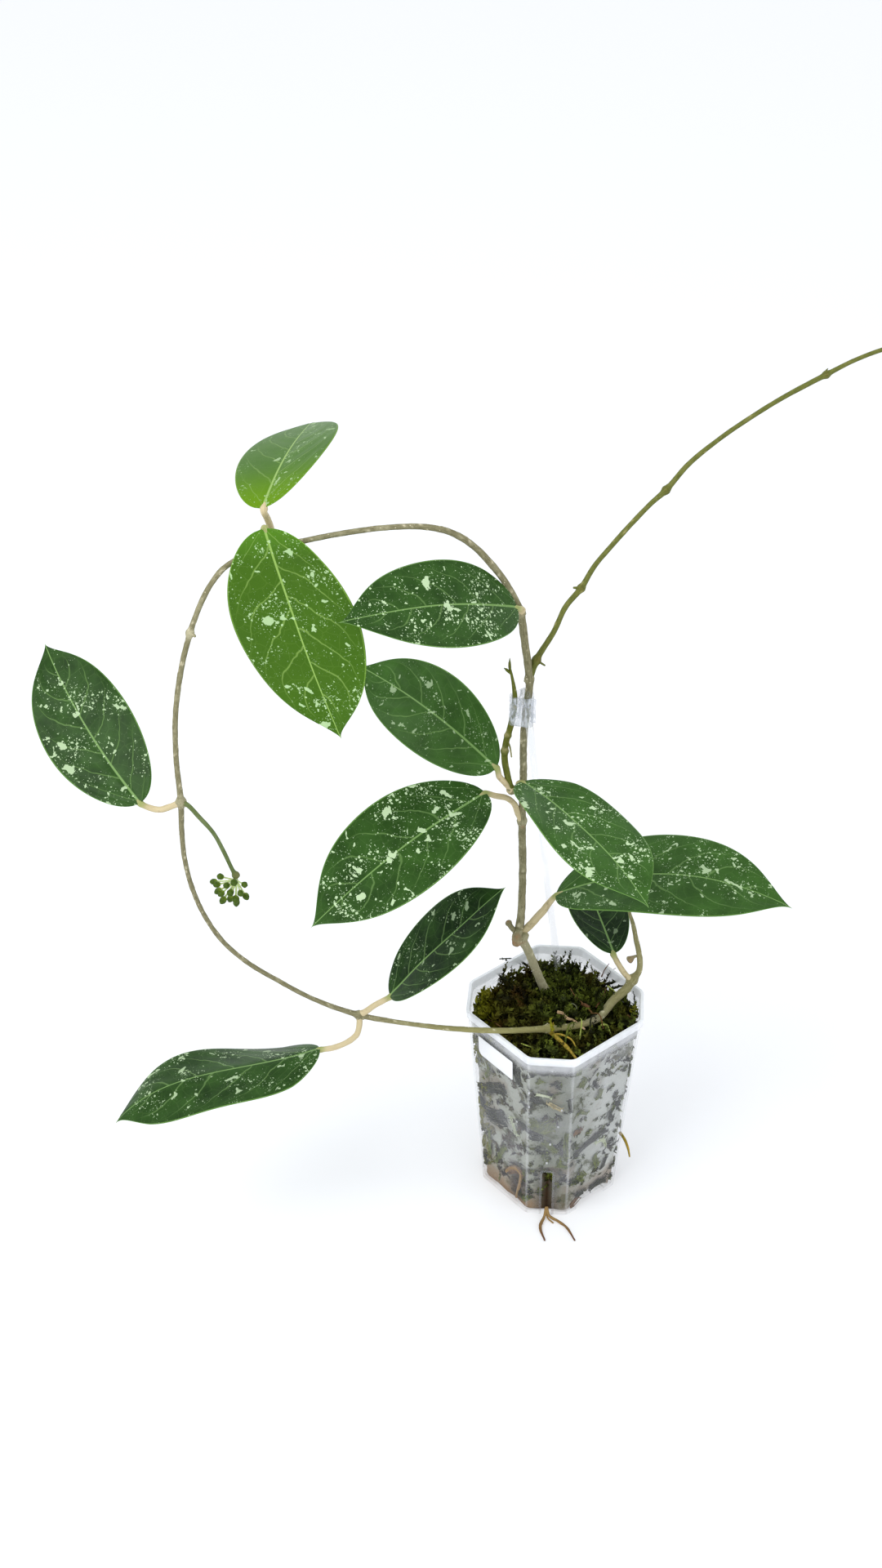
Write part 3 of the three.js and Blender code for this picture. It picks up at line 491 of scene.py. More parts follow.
# petiole: firm tan skin, ridged lengthwise and a little greener near the blade
petioleSkin, tree = startMaterial("tanPetioleSkin")
coords = add(tree, "TexCoord")
run = add(tree, "UVMap", {"uv_map": "surface"})
lengthwise = add(tree, "Mapping", None, {"Vector": run, "Scale": (1600.0, 150.0, 1.0)})
streak = add(tree, "TexNoise", None, {"Vector": lengthwise, "Scale": 1.0, "Detail": 4.0, "Roughness": 0.65})
blotch = add(tree, "TexNoise", None, {"Vector": coords.outputs["Object"], "Scale": 260.0, "Detail": 3.0})
tan = add(tree, "MixRGB", None, {"Fac": streak, "Color1": linear("#B3A277"), "Color2": linear("#DCCDA4")})
nearBlade = add(tree, "Attribute", {"attribute_name": "nearBlade"}).outputs["Fac"]
tan = add(tree, "MixRGB", None, {"Fac": nearBlade, "Color1": tan, "Color2": linear("#8E9A50")})
dark = add(tree, "MapRange", None, {"Value": blotch, "From Min": 0.58, "From Max": 0.72, "To Max": 0.45})
tan = add(tree, "MixRGB", None, {"Fac": dark, "Color1": tan, "Color2": linear("#7D6A44")})
bump = add(tree, "Bump", None, {"Strength": 0.5, "Distance": 0.0003, "Height": streak})
shader = add(tree, "BsdfPrincipled", None, {"Base Color": tan, "Roughness": 0.55, "Normal": bump})
add(tree, "OutputMaterial", None, {"Surface": shader})

# In millimetres, as in the solids. arch, bend and lift bow the blade up, sideways and into a trough, droop
# moves the arch along it, twist turns it in degrees and wave ripples its margins. Then what only the looks
# need: flecks is how many it carries, skin which tones, depth how far it goes to the lighter one (partly the
# leaf's own tone, partly painted shade on leaves that sit in shade and painted sheen on lit ones), swell how
# uneven it is, green how far the petiole is green, patch where on the pattern of flecks it lies and stout
# how thick its petiole is.
leaves = [
    {"petiole": [(-135, -34, 408), (-132.5, -33, 414), (-133.5, -35, 421), (-135, -38, 428)],
     "tip": (-119, 54, 423), "faces": (-0.28, 0.11, 0.96),
     "width": 44, "arch": 6.5, "bend": -3.4, "droop": -0.25, "lift": 2, "wave": 0.1, "flecks": 0.6,
     "skin": "top", "depth": 0.5, "swell": 0.1, "green": 1},
    {"petiole": [(-135, -34, 408), (-136, -38, 411.5), (-135.5, -42, 417), (-134, -46, 422.5)],
     "tip": (-104, -52.5, 319.5), "faces": (-0.24, -0.97, -0.01),
     "width": 58, "arch": -2.4, "bend": -2.6, "lift": 1.2, "wave": 1.2, "flecks": 0.85, "skin": "young",
     "depth": 0.5},
    {"petiole": [(-23.5, -3, 356), (-22.5, -6, 359), (-25, -9, 362)],
     "tip": (-103, -64, 387), "faces": (0.54, -0.36, 0.76),
     "width": 43, "arch": 6.8, "bend": -0.8, "lift": 2.3, "twist": 5, "wave": 1, "flecks": 1.0,
     "skin": "dark", "depth": 0.42},
    {"petiole": [(-25.5, 0, 254.5), (-29, -2, 260.5), (-31.5, -3, 264.5), (-33, -4, 270)],
     "tip": (-100, 56, 290), "faces": (-0.37, -0.64, 0.68),
     "width": 42, "arch": 2.6, "bend": -3.2, "lift": 3.4, "wave": 0.8, "flecks": 0.42, "skin": "dark",
     "depth": 0.62},
    {"petiole": [(-19.5, 6, 231.5), (-21.5, 5, 236), (-23.5, 3, 243.5), (-27.5, 0, 249.5), (-33, -3, 253),
                 (-38, -6, 257)],
     "tip": (-120, -71, 226), "faces": (0.05, -0.5, 0.87),
     "width": 51, "arch": 3.5, "bend": -2.5, "lift": 5, "twist": -9, "wave": 0.8, "flecks": 0.95,
     "skin": "dark", "depth": 0.42},
    {"petiole": [(-100.5, -31, 137.5), (-97, -31, 140), (-92, -31, 144.5), (-85, -30, 149.5)],
     "tip": (-28, -22, 212), "faces": (-0.67, -0.36, 0.65),
     "width": 40, "arch": 1.7, "lift": 3, "twist": 8, "wave": 0.6, "flecks": 0.42, "skin": "dark",
     "depth": 0.12},
    {"petiole": [(-100.5, -31, 137.5), (-100.5, -33, 133), (-102, -34, 127), (-107.5, -34, 121.5),
                 (-114.5, -34, 118), (-121, -33, 117)],
     "tip": (-224, -58, 89), "faces": (-0.28, 0.06, 0.96),
     "width": 54, "arch": 11, "bend": 3.8, "droop": 0.8, "lift": -4.7, "twist": -8, "wave": -2.2,
     "flecks": 0.62, "skin": "dark", "depth": 0.32},
    {"petiole": [(-178.5, -50, 283), (-184.5, -50, 280), (-189.5, -49, 278), (-197.5, -48, 281)],
     "tip": (-247.5, 23.5, 323), "faces": (-0.16, -0.58, 0.8),
     "width": 44, "arch": 1.4, "bend": 3.3, "lift": 1.3, "wave": 0.8, "flecks": 0.75, "skin": "dark",
     "depth": 0.34},
    {"petiole": [(-19.5, 4, 252), (-21.5, -0.5, 257), (-22, -4, 261), (-20.5, -6, 263.5)],
     "tip": (35, -85, 249), "faces": (0.16, -0.07, 0.98),
     "width": 47, "arch": 3.4, "bend": 3.1, "lift": 2.5, "twist": 4, "wave": 2, "flecks": 0.95,
     "skin": "dark", "depth": 0.66, "patch": 0.083},
    {"petiole": [(-19, 10, 156), (-14.5, 9, 162.5), (-8, 7, 173.5), (-1.5, 6, 185.5)],
     "tip": (113, -21, 198), "faces": (-0.14, -0.12, 0.98),
     "width": 57, "arch": 10.4, "bend": 8.1, "lift": 1.4, "wave": 1.2, "flecks": 0.66, "skin": "dark",
     "depth": 0.58, "stout": 1.35},
    {"petiole": [(40, 7.5, 128), (37, 7, 131), (34, 9, 134.5), (30, 12, 142)],
     "tip": (15, 82, 144.5), "faces": (0.01, -0.04, 1),
     "width": 31, "arch": 1.9, "lift": 2.7, "twist": 3, "wave": 0.5, "flecks": 0.08, "skin": "dark",
     "depth": 0.0},
]


def bladeProfile(s):
    return np.sin(math.pi * s ** 0.9).clip(0) ** 0.54 * (1 - s ** 12) ** 1.4


# the blade's surface at share s of its length and q of its half width, lifted by height off its middle layer
def bladeSurface(leaf, s, q, height):
    base, tip = np.array(leaf["petiole"][-1], float), np.array(leaf["tip"], float)
    along = (tip - base) / np.linalg.norm(tip - base)
    face = np.array(leaf["faces"], float)
    face -= along * (face @ along)
    face /= np.linalg.norm(face)
    aside = np.cross(face, along)
    twist = np.radians(leaf.get("twist", 0)) * (2 * s - 1)
    up = face * np.cos(twist)[..., None] + np.cross(along, face) * np.sin(twist)[..., None]
    across = np.cross(up, along)
    bow = 4 * s * (1 - s)
    halfWidth = leaf["width"] / 2 * bladeProfile(s)
    lean = math.atan2(leaf["lift"], leaf["width"] / 2)
    ends = np.minimum(1, np.minimum(6 * s, 6 * (1 - s)))
    ripple = leaf["wave"] * np.sin(8.2 * s - 0.5 + np.where(q > 0, 1.2, 0)) * q * q * ends
    middle = base + (tip - base) * s[..., None]
    middle = middle + face * (leaf["arch"] * bow * (1 + leaf.get("droop", 0) * (2 * s - 1)))[..., None]
    middle = middle + aside * (leaf.get("bend", 0) * bow)[..., None]
    out = halfWidth * q * math.cos(lean)
    # the fold along the midrib is softened over its first millimetre
    rise = np.sqrt((halfWidth * q) ** 2 + 1.0) - 1.0
    raised = up * (rise * math.sin(lean) + ripple + height)[..., None]
    return middle + across * out[..., None] + raised, halfWidth


def makeLeaf(index, leaf):
    rows, columns = blade["rows"], blade["columns"]
    s = 0.5 - 0.5 * np.cos(np.linspace(0.02, math.pi - 0.02, rows))
    s = 0.35 * s + 0.65 * np.linspace(0.0015, 0.9985, rows)
    q = np.sin(np.linspace(-math.pi / 2, math.pi / 2, columns)) * 0.55 + np.linspace(-1, 1, columns) * 0.45
    ring = np.concatenate([q, q[-2:0:-1]])
    below = np.concatenate([np.zeros(columns), np.ones(columns - 2)])
    side = np.where(below > 0, -1.0, 1.0)
    side[[0, columns - 1]] = 0
    share, reach = np.meshgrid(s, ring, indexing="ij")
    half = leaf["width"] / 2 * bladeProfile(share)
    length = np.linalg.norm(np.array(leaf["tip"]) - np.array(leaf["petiole"][-1]))
    fromEnd = np.minimum(share, 1 - share)
    beside = np.abs(reach) * half
    thin = blade["thickness"] / 2 * np.sqrt(np.clip(1 - np.abs(reach) ** 10, 0, 1))
    thin *= np.minimum(1, 25 * fromEnd + 0.15)
    start = np.minimum(1, 12 * share)
    groove = blade["groove"] * np.exp(-(beside / blade["grooveWidth"]) ** 2) * (1 - 0.7 * share) * start
    keel = blade["keel"] * np.exp(-(beside / blade["keelWidth"]) ** 2) * (1 - 0.8 * share) * start
    # the blade puffs up a little between one side vein and the next
    vein = share + np.where(reach > 0, blade["stagger"], 0) - blade["slant"] * np.abs(reach)
    vein -= blade["sweep"] * np.abs(reach) ** blade["sweepPower"]
    puff = blade["quilt"] * (np.abs(np.sin(math.pi * vein * blade["sideVeins"])) - 0.5)
    puff *= smoothStep(0, 4, beside) * (1 - np.abs(reach) ** 4)
    # and it is never quite even
    swell = 0.5 * np.sin(share * 9 + index * 1.7) * np.sin(reach * 2.6 + index)
    swell *= (1 - np.abs(reach) ** 3) * np.minimum(1, 5 * fromEnd) * leaf.get("swell", 0.7)
    height = side[None, :] * thin + puff + swell - np.where(side[None, :] > 0, groove, keel)
    points, _ = bladeSurface(leaf, share, reach, height)
    count = len(ring)
    patchAt = index * blade["patchStep"]
    u = reach * half * mm + patchAt + leaf.get("patch", 0.0)
    v = share * length * mm
    uvs = []
    for i in range(rows - 1):
        for j in range(count):
            k = (j + 1) % count
            uvs += [(u[c], v[c]) for c in ((i, j), (i, k), (i + 1, k), (i + 1, j))]
    uvs += [(patchAt, v[0, 0])] * count + [(patchAt, v[-1, 0])] * count
    faces = ringFaces(rows, count) + endFaces(rows, count)
    shape = Shape()
    below = np.broadcast_to(below, share.shape).ravel()
    shape.join(points.reshape(-1, 3), faces, uvs, 0, across=reach.ravel(), along=share.ravel(), under=below,
               width=half.ravel(), flecks=leaf["flecks"], depth=leaf["depth"])
    # the petiole comes in under the blade's base and runs out along the midrib
    face = np.array(leaf["faces"], float)
    stalk = [(*spot, blade["petioleRadius"] * leaf.get("stout", 1)) for spot in leaf["petiole"][:-1]]
    for spotShare, drop, radius in ((0.0, 1.1, 1.35), (0.06, 1.0, 0.9), (0.13, 0.85, 0.35)):
        spot, _ = bladeSurface(leaf, np.array([spotShare]), np.array([0.0]), np.array([0.0]))
        stalk.append((*(spot[0] - face * drop), radius))
    joints = [(*leaf["petiole"][0], 2.3), (*leaf["petiole"][-1], 1.85)]
    tube, tubeFaces, tubeUV = stem(stalk, 14, 1.0, joints, barkRelief(0.1, 0.5, index + 40))
    fromBlade = np.linalg.norm(tube - np.array(leaf["petiole"][-1]), axis=1)
    nearBlade = smoothStep(leaf.get("green", blade["petioleGreen"]), 0, fromBlade)
    shape.join(tube, tubeFaces, tubeUV, 1, nearBlade=nearBlade)
    skin = {"young": youngLeaf, "top": topLeaf}.get(leaf["skin"], darkLeaf)
    name = "leaf_%02d" % (index + 1)
    piece = shape.piece("blade%02d" % (index + 1), [skin, petioleSkin])
    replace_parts(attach(piece, "root"), name)
    return piece


for index, leaf in enumerate(leaves):
    makeLeaf(index, leaf)
print("leaves grown")


# stems: the woody vine, the olive shoot and runner, the flower stalk

# twiggy bark: dull grey-brown with paler corky pores, greener where it is younger
def barkSkin(name, tones):
    material, tree = startMaterial(name)
    coords = add(tree, "TexCoord")
    run = add(tree, "UVMap", {"uv_map": "surface"})
    # fresh is above 0 where the stem is young and green, and below 0 where it is pale and corky
    pores, fresh, scar = (add(tree, "Attribute", {"attribute_name": label}).outputs["Fac"]
                          for label in ("pores", "fresh", "scar"))
    # streaks about 0.5 mm wide and 6 mm long
    lengthwise = add(tree, "Mapping", None, {"Vector": run, "Scale": (1500.0, 260.0, 1.0)})
    streak = add(tree, "TexNoise", None, {"Vector": lengthwise, "Scale": 1.0, "Detail": 5.0,
                                          "Roughness": 0.7})
    cloud = add(tree, "TexNoise", None, {
        "Vector": coords.outputs["Object"], "Scale": 150.0, "Detail": 4.0, "Roughness": 0.65})
    speckle = add(tree, "TexNoise", None, {
        "Vector": coords.outputs["Object"], "Scale": 1500.0, "Detail": 3.0, "Roughness": 0.7})
    skin = add(tree, "MixRGB", None, {
        "Fac": add(tree, "MapRange", None, {"Value": streak, "From Min": 0.3, "From Max": 0.7}),
        "Color1": linear(tones["dark"]), "Color2": linear(tones["light"])})
    skin = add(tree, "MixRGB", None, {
        "Fac": add(tree, "Math", {"operation": "SUBTRACT", "use_clamp": True}, {
            0: add(tree, "MapRange", None, {"Value": cloud, "From Min": 0.5, "From Max": 0.72,
                                            "To Max": 0.5}),
            1: add(tree, "Math", "MINIMUM", {0: fresh, 1: 0.0})}),
        "Color1": skin, "Color2": linear(tones["bloom"])})
    skin = add(tree, "MixRGB", None, {
        "Fac": add(tree, "Math", {"operation": "MULTIPLY", "use_clamp": True}, {0: fresh, 1: 0.75}),
        "Color1": skin, "Color2": linear(tones["fresh"])})
    skin = add(tree, "MixRGB", None, {
        "Fac": add(tree, "MapRange", None, {"Value": speckle, "From Min": 0.56, "From Max": 0.7,
                                            "To Max": 0.5}),
        "Color1": skin, "Color2": linear(tones["dark"])})
    # corky dots, 0.3 to 0.6 mm
    dots = add(tree, "TexVoronoi", {"feature": "F1"}, {"Vector": coords.outputs["Object"], "Scale": 620.0})
    luck = add(tree, "SeparateColor", None, {0: dots.outputs["Color"]})
    dotSize = add(tree, "MapRange", None, {"Value": luck, "From Min": 0.5, "To Max": 0.3})
    dotRoom = add(tree, "Math", "SUBTRACT", {0: dotSize, 1: dots.outputs["Distance"]})
    dotMask = add(tree, "MapRange", None, {"Value": dotRoom, "From Max": 0.08,
                                           "To Max": tones.get("dots", 0.7)})
    pores = add(tree, "Math", "MAXIMUM", {0: pores, 1: dotMask})
    skin = add(tree, "MixRGB", None, {"Fac": pores, "Color1": skin, "Color2": linear(tones["pore"])})
    scarred = add(tree, "Math", "MULTIPLY", {
        0: scar, 1: add(tree, "MapRange", None, {"Value": speckle, "From Min": 0.35, "From Max": 0.6})})
    skin = add(tree, "MixRGB", None, {"Fac": scarred, "Color1": skin, "Color2": linear(tones["scar"])})
    height = add(tree, "Math", "MULTIPLY_ADD", {0: streak, 1: 0.6, 2: speckle})
    bump = add(tree, "Bump", None, {"Strength": 0.6, "Distance": 0.0003, "Height": height})
    shader = add(tree, "BsdfPrincipled", None, {
        "Base Color": skin, "Roughness": tones["rough"], "Specular IOR Level": 0.2, "Normal": bump})
    add(tree, "OutputMaterial", None, {"Surface": shader})
    return material


barkTones = {"dark": "#645F42", "light": "#9B9674", "bloom": "#BDB796", "fresh": "#9A9558", "pore": "#DDD4B4",
             "scar": "#A0704C", "rough": 0.78}
shootTones = {"dots": 0.2, "dark": "#43480F", "light": "#73782A", "bloom": "#8F8A4C", "fresh": "#5A6416",
              "pore": "#B5AE77", "scar": "#CFC49A", "rough": 0.5}
runnerTones = {"dots": 0.2, "dark": "#454B18", "light": "#7B7F3A", "bloom": "#86844A", "fresh": "#5E6A24",
               "pore": "#A8A068", "scar": "#6A5A26", "rough": 0.52}
stalkTones = {"dots": 0.25, "dark": "#4A5830", "light": "#6F7E4C", "bloom": "#808A60", "fresh": "#647A3E",
              "pore": "#9FAC78", "scar": "#96724F", "rough": 0.5}
twigBark = barkSkin("twigBark", barkTones)
shootSkin = barkSkin("oliveShootSkin", shootTones)
runnerSkin = barkSkin("runnerSkin", runnerTones)
stalkSkin = barkSkin("flowerStalkSkin", stalkTones)


# one stem of a shape, with its colour marks; scars are (x, y, z, radius) spots
def addStem(shape, route, around, step, joints=(), lump=0.07, pores=0.0, seed=1, fresh=0.0, scars=(), slot=0):
    points, faces, uvs = stem(route, around, step, joints, barkRelief(lump, pores, seed))
    scar = np.zeros(len(points))
    for x, y, z, wide in scars:
        scar = np.maximum(scar, np.exp(-(np.linalg.norm(points - (x, y, z), axis=1) / wide) ** 2))
    if callable(fresh):
        fresh = fresh(points)
    mark = markPores(route, around, step, pores, seed) if pores else 0.0
    shape.join(points, faces, uvs, slot, pores=mark, fresh=fresh, scar=scar)


vine = {
    "route": [(-3, 17, 84, 2.2), (-4, 15.5, 100, 2.3), (-5, 14, 114, 2.3), (-10, 12, 131, 2.2),
              (-15, 11, 146, 2.2), (-19, 10, 156, 2.4), (-18.5, 10, 170, 2), (-18.5, 8, 202, 1.9),
              (-19.5, 6, 231, 1.9), (-19.5, 4, 257, 1.8),
              (-20, 2, 283, 1.8), (-19, 1, 302, 1.8), (-18, 0, 315, 1.8), (-20.5, -1, 337, 1.8),
              (-23.5, -3, 356, 1.9),
              (-30, -5, 372, 1.6), (-37.5, -7, 384, 1.6), (-45.5, -9, 394, 1.6), (-55, -12, 402, 1.6),
              (-66.5, -16, 407, 1.6), (-81, -20, 409, 1.6), (-95, -25, 410, 1.6), (-109, -29, 409.5, 1.6),
              (-123, -32, 408, 1.6), (-135, -34, 408, 1.8), (-145, -36, 403.5, 1.6), (-154, -38, 398, 1.6),
              (-161.5, -41, 388, 1.6), (-167, -44, 376, 1.6), (-172, -46, 360.5, 1.6),
              (-175.5, -48, 345, 1.6),
              (-178, -49, 328, 1.6), (-179, -50, 307, 1.6), (-178.5, -50, 283, 1.8), (-179.5, -48, 266, 1.6),
              (-179.5, -46, 247, 1.5), (-177.5, -44, 229, 1.5), (-173.5, -42, 212, 1.5),
              (-165.5, -39, 192, 1.5),
              (-154.5, -37, 177, 1.5), (-140, -35, 163.5, 1.5), (-122.5, -33, 149.5, 1.5),
              (-100.5, -31, 137.5, 1.8),
              (-76, -29, 130, 1.5), (-51, -28, 125.5, 1.5), (-32, -27.5, 124, 1.5), (-24, -26.5, 123, 1.5),
              (-15, -23.5, 121, 1.6), (-4, -19, 117.5, 1.9), (3.5, -18, 117.5, 1.8), (13, -16, 118, 1.8),
              (22, -11, 118, 1.9), (26, -5, 118.5, 2.2), (30, 1, 119.5, 2.3), (37, 5.5, 123.5, 2.3),
              (40, 7.5, 128, 2.2),
              (43, 7, 134, 1.6), (43.5, 8, 139, 1.5), (42.5, 9.5, 146, 1.4), (41, 11.5, 152, 1.3),
              (39.5, 14, 159, 1.1),
              (37.5, 16.5, 165, 0.8), (36.5, 19, 171, 0.4)],
    "foot": [(-6, 13.5, 121, 1.4), (-2, 13, 113, 1.7), (1, 12, 103, 1.4)],
    "spur": [(-19.5, 4, 251, 1.8), (-22.5, 2, 253, 2), (-25.5, 0, 254.5, 2)],
    "stub": [(-19, 10, 156, 2), (-22.5, 9, 160.5, 1.4), (-25, 8, 165.5, 1.2)],
    "knob": [(43, 9.5, 142.5, 0.8), (40.5, 8.8, 142.5, 0.8), (38, 8, 141, 1.5)],
    "joints": [(-19, 10, 156, 3.4), (-19.5, 6, 231.5, 2.4), (-25.5, 0, 254.5, 2.4), (-18, 0, 318, 2.3),
               (-23.5, -3, 356, 2.7), (-135, -34, 408, 2.4), (-168.5, -45, 370, 2.1), (-178.5, -50, 283, 2.7),
               (-100.5, -31, 137.5, 2.5), (-4, -19, 117.5, 2.6), (40, 7.5, 128, 3)],
    # rusty scars where leaves and flower stalks fell off
    "scars": [(-21.5, 7.5, 157, 1.3), (-18, 7.2, 152.5, 1.4), (-22.5, 10, 153, 1.1), (38, 8, 141, 2.4),
              (-22, -5, 357, 1.0), (33, 8, 143, 1.6), (5, -22, 121.5, 2.0), (13, -19, 121.5, 2.4),
              (21, -15, 121.5, 1.8), (-19, 4, 229, 0.9), (-137, -36, 409, 0.9)],
    # the thick old joint above the foot, with its swollen scars, and the smaller one beside it
    "oldJoint": [(-20.8, 7, 152.8, 2.3), (-20.2, 7.2, 157, 2.7), (-19.5, 8.3, 160.5, 2.1)],
    "oldScars": [(-22.4, 5.5, 154.5, 2.4), (-19.2, 4.6, 153.4, 2.2), (-20.5, 5, 158.5, 1.6)],
    "besideJoint": [(-17, 7, 155.5, 2.0), (-16, 6.8, 158.6, 1.6)],
    "paleJoints": [(-19.5, 6, 231.5), (-168.5, -45, 370), (-23.5, -3, 356), (-178.5, -50, 283)],
    "pores": 3.2, "lump": 0.1, "around": 16, "step": 0.9, "slimming": 0.22}


# the vine is greenest on its way back over the rim and at its last tip
def vineFresh(points):
    x, y, z = points[:, 0], points[:, 1], points[:, 2]
    rim = smoothStep(-110, -40, x) * smoothStep(150, 132, z) * smoothStep(-14, -19, y)
    tip = smoothStep(20, 30, x) * 0.45
    foot = smoothStep(165, 150, z) * smoothStep(0, 6, y) * smoothStep(20, 10, x)
    ringed = np.zeros(len(points))
    for spot in vine["paleJoints"]:
        ringed = np.maximum(ringed, smoothStep(3.4, 2.0, np.linalg.norm(points - spot, axis=1)))
    green = np.clip(rim * 0.8 + tip * smoothStep(10, 22, x), 0, 1)
    return green - np.clip(foot * 0.55 + ringed * 0.8, 0, 0.9)


# the loop is thinnest where it is youngest, far out on the left
slim = [(x, y, z, radius * (1 - vine["slimming"] * float(smoothStep(-30, -90, x))))
        for x, y, z, radius in vine["route"]]
shape = Shape()
addStem(shape, slim, vine["around"], vine["step"], vine["joints"], vine["lump"], vine["pores"], 11,
        vineFresh, vine["scars"])
addStem(shape, vine["foot"], 12, 0.9, [], 0.1, 2.0, 12, -0.5)
addStem(shape, vine["spur"], 12, 0.8, [vine["joints"][2]], 0.1, 1.0, 13, 0.2)
addStem(shape, vine["stub"], 12, 0.6, [(-25, 8, 165.5, 1.7), (-19, 10, 156, 2.6)], 0.14, 1.0, 14, 0.0,
        [(-25.5, 8, 167, 1.2)])
addStem(shape, vine["oldJoint"], 14, 0.6, [], 0.25, 2.0, 16, -0.2, vine["oldScars"])
addStem(shape, vine["besideJoint"], 12, 0.6, [], 0.25, 2.0, 17, -0.5, [(-16.5, 5.2, 154.8, 0.8)])
addStem(shape, vine["knob"], 10, 0.5, [(38, 8, 141, 2.0)], 0.2, 0.0, 15, 0.0, vine["scars"])
# healed rings and buds at the joints
random.seed(5)
for x, y, z, wide in vine["joints"]:
    for _ in range(3):
        way = Vector((random.uniform(-1, 1), random.uniform(-1, 0.6), random.uniform(-0.5, 0.5))).normalized()
        start = Vector((x, y, z)) + way * wide * 0.7
        end = start + way * random.uniform(0.7, 1.3)
        addStem(shape, [(*start, 0.9), (*end, 0.55)], 8, 0.4, [], 0.2, 0.0, random.randrange(99), -0.4)
vinePiece = shape.piece("twiningVine", [twigBark])
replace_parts(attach(vinePiece, "root"), "main_vine")

shoot = {
    "route": [(-25.5, 0, 254.5, 1.5), (-27.5, -1, 264, 1.4), (-29, -1, 274, 1.4), (-28.5, -1.5, 283, 1.3),
              (-26.5, -2.5, 293, 1.3), (-25.5, -3, 300, 1.2), (-24.8, -3.8, 309, 1.1), (-25.5, -5, 317, 0.8),
              (-28, -5, 330, 0.3)],
    "girth": 1.15,
    "joints": [(-28.8, -1.2, 278, 1.9), (-28, -1.8, 287.5, 1.7)],
    "rootlet": [(-28.5, -1.8, 286, 0.5), (-26.8, -4.6, 283, 0.45), (-25.8, -4.8, 277, 0.4)],
    "scars": [(-28.9, -1.3, 279.5, 1.6), (-28, -2, 288.5, 1.4), (-25, -3.4, 305, 1.0)],
    "paleJoints": [(-27, -0.7, 271), (-28.9, -1.3, 279.5), (-28, -2, 288.5), (-25, -3.4, 305)],
    # the two youngest leaves are still folded slips beside the tip
    "slipFoot": (-27.2, -5, 324), "slipMiddle": (-27.6, -5, 325),
    "slipEnds": [(-27.6, -3.5, 331.5), (-30.3, -5.6, 327.5)]}


# pale rings at the shoot's joints
def shootFresh(points):
    ringed = np.zeros(len(points))
    for spot in shoot["paleJoints"]:
        ringed = np.maximum(ringed, smoothStep(2.8, 1.2, np.linalg.norm(points - spot, axis=1)))
    return 0.35 - ringed * 1.1


shape = Shape()
thickened = [(x, y, z, radius * shoot["girth"]) for x, y, z, radius in shoot["route"]]
addStem(shape, thickened, 14, 0.7, shoot["joints"], 0.06, 1.0, 21, shootFresh, shoot["scars"])
addStem(shape, shoot["rootlet"], 8, 0.5, [], 0.12, 0.0, 22, 0.0, [(-26, -4.7, 279, 3)])
for end in shoot["slipEnds"]:
    halfway = 0.5 * (np.array(end) + shoot["slipMiddle"])
    addStem(shape, [(*shoot["slipFoot"], 0.45), (*halfway, 0.7), (*end, 0.15)], 8, 0.5, [], 0.05, 0, 23, 1.0)
shootPiece = shape.piece("oliveShoot", [shootSkin])
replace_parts(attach(shootPiece, "root"), "side_shoot")

runner = {
    "route": [(-18, 0, 318, 1.6), (-15, 2, 327, 1.5), (-7, 5, 341, 1.3), (-2, 8, 352, 1.3), (5, 10, 361, 1.4),
              (11, 13, 371, 1.2), (18, 16, 379, 1.2), (25, 19, 386.5, 1.2), (36, 24, 397, 1.2),
              (43, 27, 402.5, 1.3),
              (53, 32, 413, 1.2), (66, 37, 422.5, 1.1), (79, 42, 430, 1.1), (95, 48, 438, 1.1),
              (115.5, 55, 446.5, 1.2),
              (128, 59, 451.5, 1), (141, 63, 455, 1), (153, 67, 456.5, 0.8), (162, 70, 456, 0.5)],
    "joints": [(-15, 2, 327, 2.3), (5, 10, 361, 2), (43, 27, 402.5, 2.1), (115.5, 55, 446.5, 1.9)],
    "stubs": [[(5, 10, 361, 0.9), (1.5, 9.5, 361.5, 0.5)],
              [(-15, 2, 327, 0.7), (-11, 0.5, 325, 0.4)],
              [(162, 70, 456, 1), (166, 71.5, 457.5, 0.4)]],
    "scars": [(-14, 1, 328, 1.6), (5, 9, 361.5, 1.3), (43, 26, 403, 1.2), (115.5, 54, 447, 1.1)]}
shape = Shape()
addStem(shape, runner["route"], 14, 0.9, runner["joints"], 0.06, 1.2, 31, 0.1, runner["scars"])
for stub in runner["stubs"]:
    addStem(shape, stub, 8, 0.5, [], 0.12, 0.0, 32, 0.0)
# a pair of scale leaves sits at each bare joint
for x, y, z, wide in runner["joints"][1:]:
    for lean in (-1, 1):
        middle = (x + 0.5 + lean * 0.5, y - 1.4 * lean, z + 1.2, 0.5)
        addStem(shape, [(x, y, z, 0.8), middle, (x + 0.9, y - 1.9 * lean, z + 2.2, 0.15)], 8, 0.5, [], 0.1,
                0.0, 33, 0.3)
runnerPiece = shape.piece("bareRunner", [runnerSkin])
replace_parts(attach(runnerPiece, "root"), "runner")

stalk = {
    "route": [(-178.5, -50, 283, 1.1), (-175.5, -52, 283, 1.1), (-169.5, -54, 276.5, 1.1),
              (-164, -56, 270, 1), (-160, -57, 261, 1), (-156, -58, 250, 1), (-154.5, -58, 246.5, 1.2)],
    "joint": (-154.5, -58, 247, 1.9)}
shape = Shape()
addStem(shape, stalk["route"], 14, 0.6, [stalk["joint"]], 0.06, 1.2, 35, 0.2,
        [(*stalk["joint"][:3], 1.7), (-177, -51, 283, 1.3)])
stalkPiece = shape.piece("flowerStalk", [stalkSkin])
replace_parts(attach(stalkPiece, "root"), "peduncle")
print("stems grown")


# bud cluster: waxy green buds on pale stalks, set out from one point

